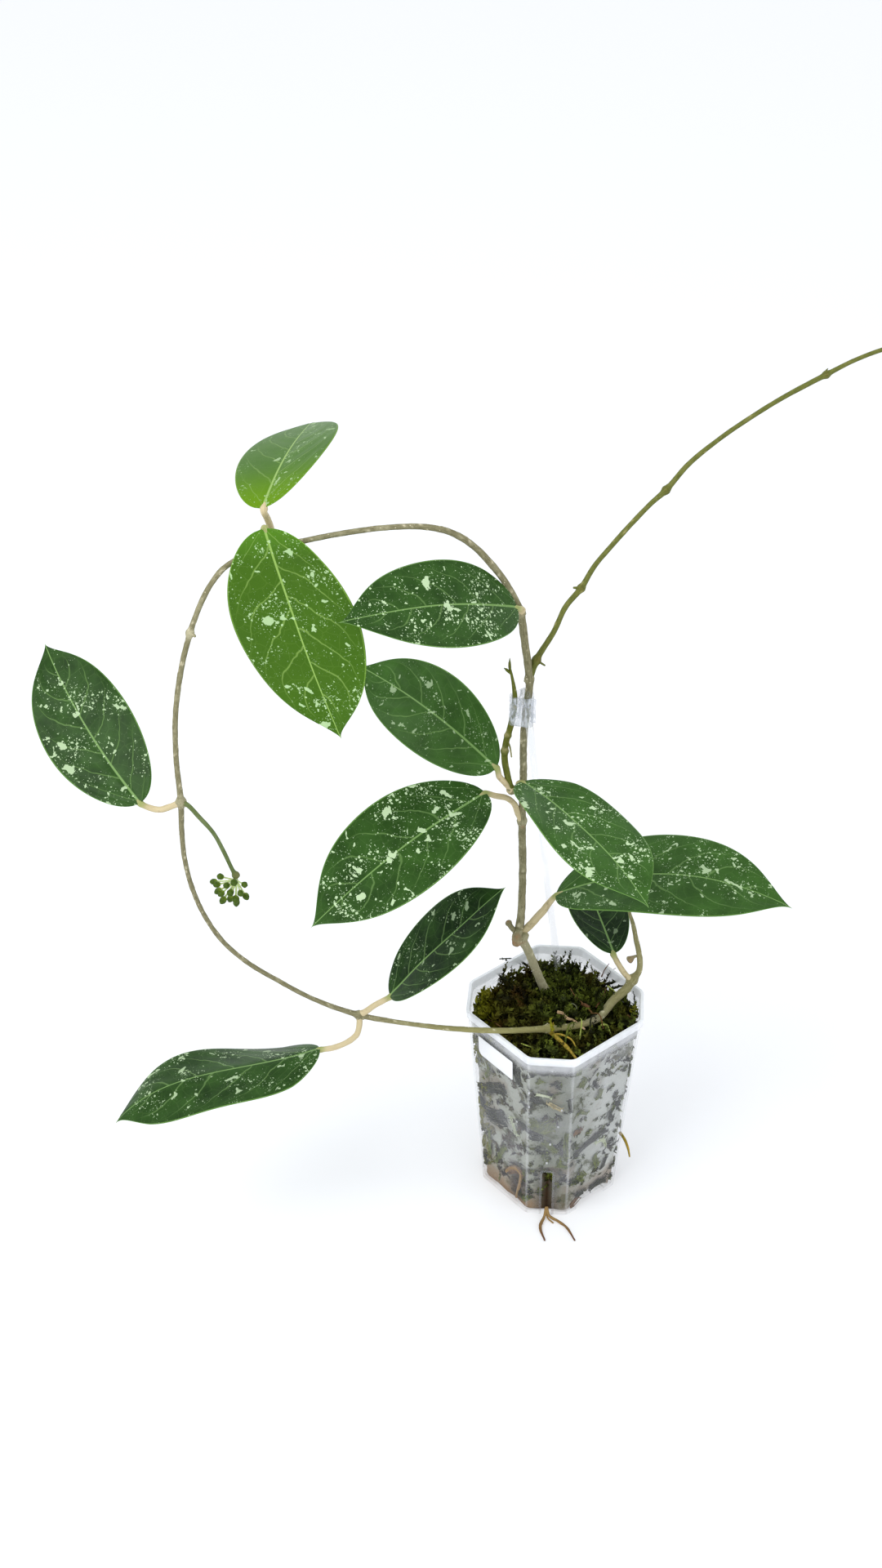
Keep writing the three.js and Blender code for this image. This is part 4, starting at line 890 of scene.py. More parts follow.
# waxy flower bud: dull green, faintly ribbed, dark at the tip
budSkin, tree = startMaterial("waxyBud")
coords = add(tree, "TexCoord")
tipward = add(tree, "Attribute", {"attribute_name": "tipward"}).outputs["Fac"]
patch = add(tree, "TexNoise", None, {"Vector": coords.outputs["Object"], "Scale": 700.0, "Detail": 3.0})
green = add(tree, "MixRGB", None, {"Fac": patch, "Color1": linear("#263E04"), "Color2": linear("#50690E")})
green = add(tree, "MixRGB", None, {"Fac": tipward, "Color1": linear("#8BA23C"), "Color2": green})
bump = add(tree, "Bump", None, {"Strength": 0.3, "Distance": 0.0002, "Height": patch})
shader = add(tree, "BsdfPrincipled", None, {"Base Color": green, "Roughness": 0.45,
                                            "Specular IOR Level": 0.2, "Normal": bump})
add(tree, "OutputMaterial", None, {"Surface": shader})

# flower stalklet: pale lime, watery and slightly translucent
stalkletSkin, tree = startMaterial("paleLimeStalklet")
coords = add(tree, "TexCoord")
patch = add(tree, "TexNoise", None, {"Vector": coords.outputs["Object"], "Scale": 500.0, "Detail": 3.0})
lime = add(tree, "MixRGB", None, {"Fac": patch, "Color1": linear("#B9CF7E"), "Color2": linear("#DCE8B4")})
shader = add(tree, "BsdfPrincipled", None, {
    "Base Color": lime, "Roughness": 0.4, "Subsurface Weight": 0.15, "Subsurface Scale": 0.001})
add(tree, "OutputMaterial", None, {"Surface": shader})

umbel = {"centre": (-154.5, -58, 244), "axis": (-0.35, -0.9, -0.18), "reach": 10.9, "spread": 62, "buds": 15,
         "nearest": 0.86, "further": 0.2, "firstTurn": 0.435, "seed": 11, "smallest": 0.98, "largest": 1.18,
         "sizeSeed": 4}
goldenAngle = 2.39996


# one bud or one stalklet along +Z: rings of (height, radius), with five soft ribs
def turned(name, rings, around, ribDepth):
    points = []
    for z, radius in rings:
        for j in range(around):
            turn = j / around * 2 * math.pi
            wide = radius * (1 + ribDepth * math.cos(5 * turn))
            points.append((wide * math.cos(turn), wide * math.sin(turn), z))
    faces = ringFaces(len(rings), around) + endFaces(len(rings), around)
    top, low = rings[-1][0], rings[0][0]
    share = [(p[2] - low) / (top - low) for p in points]
    piece = makePiece(name, points, faces, [], attributes={"tipward": np.clip(np.array(share) * 2.2, 0, 1)})
    scene.collection.objects.unlink(piece)
    return piece


budForm = turned("budForm", [(-1.75, 0.35), (-1.62, 0.85), (-1.3, 1.2), (-0.6, 1.42), (0.2, 1.46),
                             (0.9, 1.22), (1.45, 0.75), (1.75, 0.3), (1.85, 0.05)], 15, 0.06)
stalkletForm = turned("stalkletForm", [(-9.2, 0.5), (-8.6, 0.42), (-4.5, 0.36), (-2.3, 0.42), (-1.7, 0.62),
                                       (-1.35, 0.9), (-1.15, 1.0)], 8, 0.0)

# where each bud stands and which way it points; the draw is the one that the solids use
multiplier, modulus = 16807, 2147483647
draw = umbel["seed"]
budSpots, budWays = [], []
axisTurn = Vector((0, 0, 1)).rotation_difference(Vector(umbel["axis"]))
for i in range(umbel["buds"]):
    draw = draw * multiplier % modulus
    lean = math.radians(umbel["spread"]) * math.sqrt((i + 0.5) / umbel["buds"])
    turn = i * goldenAngle + umbel["firstTurn"]
    way = axisTurn @ Vector((math.sin(lean) * math.cos(turn), math.sin(lean) * math.sin(turn),
                             math.cos(lean)))
    out = umbel["reach"] * (umbel["nearest"] + umbel["further"] * draw / modulus)
    budSpots.append(Vector(umbel["centre"]) + way * out)
    budWays.append(way)
spotMesh = bpy.data.meshes.new("budSpots")
spotMesh.from_pydata([spot * mm for spot in budSpots], [], [])
wayMarks = spotMesh.attributes.new("way", "FLOAT_VECTOR", "POINT")
wayMarks.data.foreach_set("vector", np.array(budWays, np.float32).ravel())


# starts a Geometry Nodes tree with these named inputs beside the geometry itself
def startGrowth(name, inputs):
    tree = bpy.data.node_groups.new(name, "GeometryNodeTree")
    for label, kind in {"Geometry": "Geometry", **inputs}.items():
        tree.interface.new_socket(label, in_out="INPUT", socket_type="NodeSocket" + kind)
    tree.interface.new_socket("Geometry", in_out="OUTPUT", socket_type="NodeSocketGeometry")
    return tree


# runs a tree on a mesh, with a value for each named input, and gives the result as a plain mesh
def grow(name, mesh, tree, values):
    carrier = bpy.data.objects.new(name, mesh)
    scene.collection.objects.link(carrier)
    modifier = carrier.modifiers.new(name, "NODES")
    modifier.node_group = tree
    for item in tree.interface.items_tree:
        if item.in_out == "INPUT" and item.name in values:
            modifier[item.identifier] = values[item.name]
    return plainMesh(carrier, name)


# sets a form on every point of a mesh, turned to the point's way
def setOnSpots(name, spots, form, material):
    tree = startGrowth(name, {
        "Form": "Object", "Smallest": "Float", "Largest": "Float", "Seed": "Int", "Material": "Material"})
    given = add(tree, "NodeGroupInput")
    way = add(tree, "GeometryNodeInputNamedAttribute", {"data_type": "FLOAT_VECTOR"}, {"Name": "way"})
    toWay = add(tree, "FunctionNodeAlignRotationToVector", {"axis": "Z"},
                {"Vector": way.outputs["Attribute"]})
    size = add(tree, "FunctionNodeRandomValue", {"data_type": "FLOAT"}, {
        2: given.outputs["Smallest"], 3: given.outputs["Largest"], "Seed": given.outputs["Seed"]})
    chosen = add(tree, "GeometryNodeObjectInfo", None, {"Object": given.outputs["Form"]})
    placed = add(tree, "GeometryNodeInstanceOnPoints", None, {
        "Points": given.outputs["Geometry"], "Instance": chosen.outputs["Geometry"], "Rotation": toWay,
        "Scale": size.outputs[1]})
    real = add(tree, "GeometryNodeRealizeInstances", None, {"Geometry": placed})
    dressed = add(tree, "GeometryNodeSetMaterial", None, {"Geometry": real,
                                                          "Material": given.outputs["Material"]})
    add(tree, "NodeGroupOutput", None, {"Geometry": dressed})
    return grow(name, spots, tree, {
        "Form": form, "Smallest": umbel["smallest"], "Largest": umbel["largest"], "Seed": umbel["sizeSeed"],
        "Material": material})


# the evaluated result of an object as a plain mesh object, with the modifier and its carrier gone
def plainMesh(carrier, name):
    carrier.update_tag()
    bpy.context.view_layer.update()
    graph = bpy.context.evaluated_depsgraph_get()
    mesh = bpy.data.meshes.new_from_object(carrier.evaluated_get(graph))
    bpy.data.objects.remove(carrier)
    mesh.name = name
    piece = bpy.data.objects.new(name + "Piece", mesh)
    scene.collection.objects.link(piece)
    mesh.polygons.foreach_set("use_smooth", np.ones(len(mesh.polygons), bool))
    return piece


budPiece = setOnSpots("buds", spotMesh, budForm, budSkin)
stalkletPiece = setOnSpots("stalklets", spotMesh, stalkletForm, stalkletSkin)
for piece in (budPiece, stalkletPiece):
    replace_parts(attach(piece, "root"), "bud_cluster")
print("buds set")


# pot: a clear moulded nursery pot, eight-sided, with a thicker collar

pot = {"height": 120, "topWidth": 80, "baseWidth": 66, "topChamfer": 23.3, "baseChamfer": 22,
       "turn": math.radians(-4.9), "wall": 0.9, "floor": 1.2, "round": 2.2, "rimHeight": 4.6,
       "rimProud": 0.8, "slotWidth": 5.5, "slotHeight": 34, "slotDepth": 5, "slotProud": 1.5,
       "archWidth": 20, "archHeight": 5.5, "archDepth": 11, "edgeRound": 0.2}


# how far the four sides and the four cut corners stand from the axis at a height
def wallsAt(z):
    side = (pot["baseWidth"] + (pot["topWidth"] - pot["baseWidth"]) * z / pot["height"]) / 2
    chamfer = pot["baseChamfer"] + (pot["topChamfer"] - pot["baseChamfer"]) * z / pot["height"]
    return side, side * math.sqrt(2) - chamfer / 2


# the pot's outline at a height: eight sides with rounded corners, anticlockwise
def potRing(z, grow=0.0, arc=6, edge=4):
    side, cut = (away + grow for away in wallsAt(z))
    chamfer = 2 * (side * math.sqrt(2) - cut)
    corners = []
    for quarter in range(4):
        for across in (-chamfer / 2, chamfer / 2):
            turn = quarter * math.pi / 2 + pot["turn"]
            corners.append(np.array([cut * math.cos(turn) - across * math.sin(turn),
                                     cut * math.sin(turn) + across * math.cos(turn)]))
    ring = []
    for i, corner in enumerate(corners):
        before, after = corners[i - 1], corners[(i + 1) % 8]
        start = corner + (before - corner) / np.linalg.norm(before - corner) * pot["round"]
        end = corner + (after - corner) / np.linalg.norm(after - corner) * pot["round"]
        leave = after + (corner - after) / np.linalg.norm(corner - after) * pot["round"]
        for k in range(arc + 1):
            t = k / arc
            ring.append(start * (1 - t) ** 2 + 2 * t * (1 - t) * corner + end * t * t)
        for k in range(1, edge):
            ring.append(end + (leave - end) * k / edge)
    return np.column_stack([np.array(ring), np.full(len(ring), float(z))])


# a closed body through rings of equal length
def loft(name, rings, materials):
    around = len(rings[0])
    points = np.vstack([*rings, rings[0].mean(0)[None], rings[-1].mean(0)[None]])
    faces = ringFaces(len(rings), around)
    last = (len(rings) - 1) * around
    for j in range(around):
        k = (j + 1) % around
        faces.append((len(points) - 2, k, j))
        faces.append((len(points) - 1, last + j, last + k))
    return makePiece(name, points, faces, materials)


# clear polystyrene gone slightly milky: glossy and half see-through. Its moulded corners and rim are paler,
# partly thicker plastic and partly painted sheen, and the wall above the moss is painted near white as
# painted light
potPlastic, tree = startMaterial("clearMilkyPolystyrene")
coords = add(tree, "TexCoord")
surface = add(tree, "NewGeometry")
split = add(tree, "SeparateXYZ", None, {0: coords.outputs["Object"]})
haze = add(tree, "TexNoise", None, {"Vector": coords.outputs["Object"], "Scale": 60.0, "Detail": 4.0,
                                    "Roughness": 0.6})
# scuffs about 2 mm long
scuff = add(tree, "TexNoise", None, {"Vector": coords.outputs["Object"], "Scale": 420.0, "Detail": 3.0})
tint = add(tree, "MixRGB", None, {"Fac": haze, "Color1": linear("#B2B5B0"), "Color2": linear("#DCDCE6")})
# the eight walls face eight ways; what faces between two of them is a corner
normal = add(tree, "SeparateXYZ", None, {0: surface.outputs["Normal"]})
bearing = add(tree, "Math", "ARCTAN2", {0: normal.outputs["Y"], 1: normal.outputs["X"]})
eighths = add(tree, "Math", "MULTIPLY_ADD", {
    0: bearing, 1: 4 / math.pi, 2: 8.5 - pot["turn"] * 4 / math.pi})
between = add(tree, "Math", "ABSOLUTE", {
    0: add(tree, "Math", "SUBTRACT", {
        0: add(tree, "Math", "FRACT", {0: eighths}), 1: 0.5})})
corner = add(tree, "MapRange", smooth, {
    "Value": between, "From Min": 0.22, "From Max": 0.46})
# the rim collar is made near solid and white: partly its thicker plastic, partly painted sheen
rimGlow = add(tree, "MapRange", smooth, {
    "Value": split.outputs["Z"], "From Min": 0.1146, "From Max": 0.1158})
# above the moss the wall is painted near white: painted light
upperWallLight = add(tree, "MapRange", None, {"Value": split.outputs["Z"], "From Min": 0.106, "From Max": 0.111})
# the corners are painted half as pale: partly thicker plastic seen edge-on, partly painted sheen
pale = add(tree, "Math", "MAXIMUM", {
    0: upperWallLight, 1: add(tree, "Math", "MULTIPLY", {0: corner, 1: 0.5})})
tint = add(tree, "MixRGB", None, {"Fac": pale, "Color1": tint, "Color2": linear("#FAFCFF")})
# moss water has stained the foot, most on the left
leftward = add(tree, "MapRange", None, {
    "Value": split.outputs["X"], "From Min": 0.02, "From Max": -0.02, "To Min": 0.25})
lowDown = add(tree, "MapRange", smooth, {
    "Value": split.outputs["Z"], "From Min": 0.012, "From Max": 0.0})
stainPatch = add(tree, "MapRange", None, {"Value": haze, "From Min": 0.3, "From Max": 0.55})
stain = add(tree, "Math", "MULTIPLY", {
    0: lowDown, 1: add(tree, "Math", "MULTIPLY", {0: leftward, 1: stainPatch})})
tint = add(tree, "MixRGB", None, {"Fac": stain, "Color1": tint, "Color2": linear("#8A5A22")})
# how solid it looks: milky where damp, more solid where the wall above the moss is painted near white as
# painted light, and most at corners and rim (partly painted sheen) and at the stain
aboveMoss = add(tree, "MapRange", None, {
    "Value": split.outputs["Z"], "From Min": 0.108, "From Max": 0.112, "To Min": 1.0, "To Max": 3.2})
body = add(tree, "MapRange", None, {"Value": haze, "From Min": 0.3, "From Max": 0.7, "To Min": 0.06,
                                    "To Max": 0.15})
# wet moss against the wall near the foot takes the haze away
wetFoot = add(tree, "MapRange", smooth, {
    "Value": split.outputs["Z"], "From Min": 0.034, "From Max": 0.022, "To Min": 1.0, "To Max": 0.5})
solidness = add(tree, "Math", "MULTIPLY", {
    0: body, 1: add(tree, "Math", "MULTIPLY", {0: aboveMoss, 1: wetFoot})})
solidness = add(tree, "Math", "MULTIPLY_ADD", {0: rimGlow, 1: 0.42, 2: solidness})
solidness = add(tree, "Math", "MULTIPLY_ADD", {0: corner, 1: 0.1, 2: solidness})
solidness = add(tree, "Math", {"operation": "MULTIPLY_ADD", "use_clamp": True},
                {0: stain, 1: 0.06, 2: solidness})
bump = add(tree, "Bump", None, {"Strength": 0.12, "Distance": 0.0003, "Height": scuff})
shader = add(tree, "BsdfPrincipled", None, {
    "Base Color": tint, "Roughness": 0.22, "Specular IOR Level": 0.5, "IOR": 1.5, "Alpha": solidness,
    "Normal": bump})
add(tree, "OutputMaterial", None, {"Surface": shader})


# an upright outline of (across, height) pushed inwards from the wall
def cutter(name, outline, depth, angle, distance):
    count = len(outline)
    points = [(distance + push, across, height) for push in (-depth, 6.0) for across, height in outline]
    faces = [tuple(range(count)), tuple(range(count, 2 * count))[::-1]]
    faces += [(i, i + count, (i + 1) % count + count, (i + 1) % count) for i in range(count)]
    spin = Matrix.Rotation(angle + pot["turn"], 3, "Z")
    piece = makePiece(name, [spin @ Vector(p) for p in points], faces, [])
    turnFacesOut(piece)
    return piece


# takes a tool's shape out of a target and throws the tool away
def carve(target, tool):
    modifier = target.modifiers.new("carve", "BOOLEAN")
    modifier.operation = "DIFFERENCE"
    modifier.solver = "EXACT"
    modifier.object = tool
    bpy.context.view_layer.update()
    graph = bpy.context.evaluated_depsgraph_get()
    mesh = bpy.data.meshes.new_from_object(target.evaluated_get(graph))
    target.modifiers.clear()
    target.data = mesh
    bpy.data.objects.remove(tool)


def archOutline(grow):
    half, high, cut = pot["archWidth"] / 2 + grow, pot["archHeight"] + grow, 2.5
    right = [(half, high - cut), (half - 0.5, high - 1.0), (half - 1.2, high - 0.3), (half - cut, high)]
    return [(-half, -1), (half, -1), *right, *[(-across, height) for across, height in right[::-1]]]


rimFoot = pot["height"] - pot["rimHeight"]
lip = pot["rimProud"]
outer = [potRing(0, -0.5), potRing(0.15, -0.2), potRing(0.5, 0), potRing(30), potRing(60), potRing(90),
         potRing(rimFoot), potRing(rimFoot + 0.15, lip * 0.75), potRing(rimFoot + 0.5, lip),
         potRing(pot["height"] - 0.5, lip), potRing(pot["height"] - 0.15, lip - 0.15),
         potRing(pot["height"], lip - 0.5)]
shell = loft("clearPot", outer, [potPlastic])
wall, foot = -pot["wall"], pot["floor"]
inner = [potRing(foot, wall - 0.6), potRing(foot + 0.6, wall), potRing(60, wall),
         potRing(pot["height"] - 0.3, wall), potRing(pot["height"] + 2, wall + 1.4)]
hollow = loft("hollow", inner, [potPlastic])
archAngles = (-math.pi / 4, 3 * math.pi / 4)
for angle in archAngles:
    carve(hollow, cutter("niche", archOutline(pot["wall"]), pot["archDepth"] + pot["wall"], angle,
                         pot["baseWidth"] / 2))
carve(shell, hollow)
for angle in archAngles:
    carve(shell, cutter("niche", archOutline(0), pot["archDepth"], angle, pot["baseWidth"] / 2))
halfSlot, slotTop = pot["slotWidth"] / 2, pot["slotHeight"]
slotRight = [(halfSlot, slotTop - 1.2), (halfSlot - 0.4, slotTop - 0.35), (halfSlot - 1.2, slotTop)]
slotArc = slotRight + [(-across, height) for across, height in slotRight[::-1]]
slotOutline = [(-halfSlot, -2), (halfSlot, -2), *slotArc]
for quarter in range(4):
    carve(shell, cutter("slot", slotOutline, pot["slotDepth"], quarter * math.pi / 2,
                        wallsAt(0)[1] + pot["slotProud"]))
edges = shell.modifiers.new("edges", "BEVEL")
edges.width = pot["edgeRound"] * mm
edges.segments = 2
edges.limit_method = "ANGLE"
edges.angle_limit = math.radians(40)
shell = plainMesh(shell, "clearPot")
shell.data.set_sharp_from_angle(angle=math.radians(38))
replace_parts(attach(shell, "root"), "pot")
# a low moulded frame round each drain slot: its section as (outwards from the slot, outwards from the wall)
frameSection = [(0.0, -0.1), (0.0, 0.3), (0.35, 0.4), (0.9, 0.4), (1.2, 0.3), (1.2, -0.1)]
sides = len(frameSection)
frames = Shape()
for quarter in range(4):
    turn = quarter * math.pi / 2 + pot["turn"]
    rows = []
    for wider, lift in frameSection:
        row = []
        for across, height in [(-halfSlot, 0.4), *slotArc[::-1], (halfSlot, 0.4)]:
            across += math.copysign(wider, across)
            height = height + wider if height > 1 else height
            out = wallsAt(height)[1] + lift
            row.append((out * math.cos(turn) - across * math.sin(turn),
                        out * math.sin(turn) + across * math.cos(turn), height))
        rows.append(row)
    count = len(rows[0])
    points = [spot for row in rows for spot in row]
    faces = [(i * count + j, i * count + j + 1, (i + 1) % sides * count + j + 1, (i + 1) % sides * count + j)
             for i in range(sides) for j in range(count - 1)]
    faces += [tuple(i * count for i in range(sides))[::-1],
              tuple(i * count + count - 1 for i in range(sides))]
    frames.join(np.array(points), faces, [(0, 0)] * sum(len(f) for f in faces))
slotFrames = frames.piece("slotFrames", [potPlastic])
turnFacesOut(slotFrames)
slotFrames.data.set_sharp_from_angle(angle=math.radians(40))
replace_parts(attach(slotFrames, "root"), "pot")
print("pot moulded")


# moss: a damp root ball pressed against the wall, with a ragged mound of fronds on top

moss = {"edge": 107, "mound": 7, "inset": 1.25, "rows": 58, "overArch": 7.2, "archHalf": 12.5,
        # fronds to a square metre, their sizes, how far they lean (radians) and the seed that places them
        "fronds": {"density": 230000, "smallest": 0.45, "largest": 1.15, "lean": 1.25, "seed": 8},
        "longFronds": {"density": 21000, "smallest": 1.1, "largest": 1.75, "lean": 1.15, "seed": 31},
        "clinging": {"density": 104000, "smallest": 0.5, "largest": 1.1, "lean": 0.0, "seed": 5},
        # the root that curls down inside the wall shows against the dark
        "behindRoot": [(-20.5, -26.2, 25), (-17.5, -30, 26), (-17.2, -29.5, 19), (-17.8, -28.2, 13),
                       (-18.4, -27, 7)]}


def mossTop(x, y, inward):
    swell = 1.3 * math.sin(0.42 * x + 1) * math.cos(0.36 * y) + 0.9 * math.sin(0.83 * x - 0.7 * y + 2)
    return moss["edge"] + moss["mound"] * math.sin(inward * math.pi / 2) + swell * min(1, inward * 4)


# damp moss fibre seen through a fogged wall: greyed, browner low down, near black at the slots and on top,
# with painted light and shade by side: lightest on the right, darkest on the front
mossBody, tree = startMaterial("dampMossBall")
where = add(tree, "TexCoord").outputs["Object"]
crown = add(tree, "Attribute", {"attribute_name": "crown"}).outputs["Fac"]
opening = add(tree, "Attribute", {"attribute_name": "opening"}).outputs["Fac"]
split = add(tree, "SeparateXYZ", None, {0: where})
broad = add(tree, "TexNoise", None, {"Vector": where, "Scale": 78.0, "Detail": 9.0, "Roughness": 0.74,
                                     "Distortion": 0.1})
fine = add(tree, "TexNoise", None, {"Vector": where, "Scale": 420.0, "Detail": 5.0, "Roughness": 0.7,
                                    "Distortion": 0.3})
browned = add(tree, "TexNoise", None, {"Vector": where, "Scale": 48.0, "Detail": 3.0, "Distortion": 0.4})
# painted light and shade by side: the right face is painted lightest, the front darkest and the left between
sideways = add(tree, "MapRange", None, {"Value": split.outputs["X"], "From Min": 0.004, "From Max": 0.026})
frontShadeMask = add(tree, "MapRange", None, {"Value": split.outputs["X"], "From Min": -0.016, "From Max": -0.006})
shaded = add(tree, "MixRGB", None, {"Fac": frontShadeMask, "Color1": linear("#ABAEA2"),
                                    "Color2": linear("#868A7C")})
fogAndSideLight = add(tree, "MixRGB", None, {"Fac": sideways, "Color1": shaded, "Color2": linear("#C6C9C3")})
tone = add(tree, "MixRGB", None, {
    "Fac": add(tree, "MapRange", None, {"Value": broad, "From Min": 0.53, "From Max": 0.6, "To Max": 0.85}),
    "Color1": fogAndSideLight, "Color2": linear("#474B22")})
tone = add(tree, "MixRGB", None, {
    "Fac": add(tree, "MapRange", None, {"Value": browned, "From Min": 0.52, "From Max": 0.68, "To Max": 0.5}),
    "Color1": tone, "Color2": linear("#74562C")})
tone = add(tree, "MixRGB", None, {
    "Fac": add(tree, "MapRange", None, {"Value": fine, "From Min": 0.6, "From Max": 0.72, "To Max": 0.4}),
    "Color1": tone, "Color2": linear("#3E4220")})
tideline = add(tree, "Math", "MULTIPLY_ADD", {0: broad, 1: 0.05, 2: split.outputs["Z"]})
lowDown = add(tree, "MapRange", smooth, {
    "Value": tideline, "From Min": 0.052, "From Max": 0.024, "To Max": 0.85})
leftMost = add(tree, "MapRange", None, {
    "Value": split.outputs["X"], "From Max": -0.014, "To Min": 0.3})
lowDown = add(tree, "Math", "MULTIPLY", {0: lowDown, 1: leftMost})
tone = add(tree, "MixRGB", None, {"Fac": lowDown, "Color1": tone, "Color2": linear("#8A6434")})
tone = add(tree, "MixRGB", None, {
    "Fac": opening, "Color1": tone, "Color2": add(tree, "MixRGB", None, {
        "Fac": fine, "Color1": linear("#0E0803"), "Color2": linear("#3E2810")})})
top = add(tree, "MixRGB", None, {"Fac": fine, "Color1": linear("#0D0F06"), "Color2": linear("#2C2B10")})
tone = add(tree, "MixRGB", None, {"Fac": crown, "Color1": tone, "Color2": top})
bump = add(tree, "Bump", None, {"Strength": 0.8, "Distance": 0.0012, "Height": fine})
shader = add(tree, "BsdfPrincipled", None, {
    "Base Color": tone, "Roughness": 0.85, "Specular IOR Level": 0.1, "Normal": bump})
add(tree, "OutputMaterial", None, {"Surface": shader})

inset = -pot["wall"] - moss["inset"]
rings, crownMark = [], []
for z in np.linspace(pot["floor"] + 0.6, moss["edge"] - 2, moss["rows"]):
    rings.append(potRing(z, inset))
    crownMark.append(0.0)
rings.append(potRing(moss["edge"], inset))
crownMark.append(0.5)
for share in (0.985, 0.96, 0.92, 0.87, 0.81, 0.75, 0.69, 0.62, 0.55, 0.48, 0.41, 0.34, 0.27, 0.2, 0.13, 0.06):
    ring = potRing(moss["edge"], inset) * (share, share, 1)
    ring[:, 2] = [mossTop(x, y, 1 - share) for x, y, _ in ring]
    rings.append(ring)
    crownMark.append(1.0)
ball = loft("mossBall", rings, [mossBody])
around = len(rings[0])
mark = np.concatenate([np.repeat(crownMark, around), [0.0, 1.0]])
markPoints(ball.data, "crown", mark)
archMiddles = [Vector((math.cos(angle + pot["turn"]), math.sin(angle + pot["turn"]))) for angle in archAngles]
for vertex, isTop in zip(ball.data.vertices, mark):
    p = vertex.co / mm
    n = noise.noise(p / 7) + noise.noise(p / 2.4) * 0.6
    out = Vector((p.x, p.y, 0)).normalized()
    if isTop > 0.6:
        p.z += n * 1.5
    else:
        p += out * min(0.0, n - 0.2) * 1.3
    # the ball stays clear of the two arches under the pot
    for mid in archMiddles:
        outward = p.x * mid.x + p.y * mid.y
        across = abs(-p.x * mid.y + p.y * mid.x)
        if p.z < moss["overArch"] and outward > pot["baseWidth"] / 2 - 14 and across < moss["archHalf"]:
            p.z = moss["overArch"]
    vertex.co = p * mm
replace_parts(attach(ball, "root"), "moss")

# the ball shows bare and dark where a drain slot opens on it
points = np.zeros(len(ball.data.vertices) * 3, np.float32)
ball.data.vertices.foreach_get("co", points)
points = points.reshape(-1, 3) / mm
# and behind the root
nearRoot = np.min([np.linalg.norm(points - spot, axis=1) for spot in moss["behindRoot"]], axis=0)
opening = 0.9 * smoothStep(7.0, 3.5, nearRoot)
for quarter in range(4):
    turn = quarter * math.pi / 2 + pot["turn"]
    across = np.abs(-points[:, 0] * math.sin(turn) + points[:, 1] * math.cos(turn))
    outwards = points[:, 0] * math.cos(turn) + points[:, 1] * math.sin(turn)
    atSlot = (outwards > 20) * (points[:, 2] < pot["slotHeight"] + 1)
    opening = np.maximum(opening, smoothStep(5.0, 3.2, across) * atSlot)
markPoints(ball.data, "opening", opening)

# moss fronds: fine, soft, near black to yellow-green, browner on the left and yellowest at the left edge
frondSkin, tree = startMaterial("mossFrond")
tint, tipward = (add(tree, "Attribute", {"attribute_name": label}).outputs["Fac"]
                 for label in ("tint", "tipward"))
coords = add(tree, "TexCoord")
drift = add(tree, "TexNoise", None, {"Vector": coords.outputs["Object"], "Scale": 60.0, "Detail": 2.0})
hollowShade = add(tree, "TexNoise", None, {"Vector": coords.outputs["Object"], "Scale": 150.0, "Detail": 3.0})
split = add(tree, "SeparateXYZ", None, {0: coords.outputs["Object"]})
low = add(tree, "MixRGB", None, {"Fac": tint, "Color1": linear("#0E1007"), "Color2": linear("#23260D")})
high = add(tree, "MixRGB", None, {"Fac": tint, "Color1": linear("#2F3812"), "Color2": linear("#76822E")})
green = add(tree, "MixRGB", None, {"Fac": tipward, "Color1": low, "Color2": high})
leftBrown = add(tree, "MapRange", smooth, {
    "Value": split.outputs["X"], "From Min": -0.004, "From Max": -0.02, "To Max": 0.5})
rusty = add(tree, "MapRange", None, {"Value": drift, "From Min": 0.52, "From Max": 0.62, "To Max": 0.5})
rusty = add(tree, "Math", "ADD", {0: rusty, 1: leftBrown})
green = add(tree, "MixRGB", None, {"Fac": rusty, "Color1": green, "Color2": linear("#4A3610")})
edgeYellow = add(tree, "MapRange", smooth, {
    "Value": split.outputs["X"], "From Min": -0.027, "From Max": -0.038, "To Max": 0.75})
green = add(tree, "MixRGB", None, {"Fac": edgeYellow, "Color1": green, "Color2": linear("#8A8B1C")})
# clumps part over near-black hollows: painted shade where the fronds lie deep
green = add(tree, "MixRGB", None, {
    "Fac": add(tree, "MapRange", None, {"Value": hollowShade, "From Min": 0.52, "From Max": 0.4, "To Max": 0.85}),
    "Color1": green, "Color2": linear("#0A0B04")})
shader = add(tree, "BsdfPrincipled", None, {"Base Color": green, "Roughness": 0.75,
                                            "Specular IOR Level": 0.1})
add(tree, "OutputMaterial", None, {"Surface": shader})


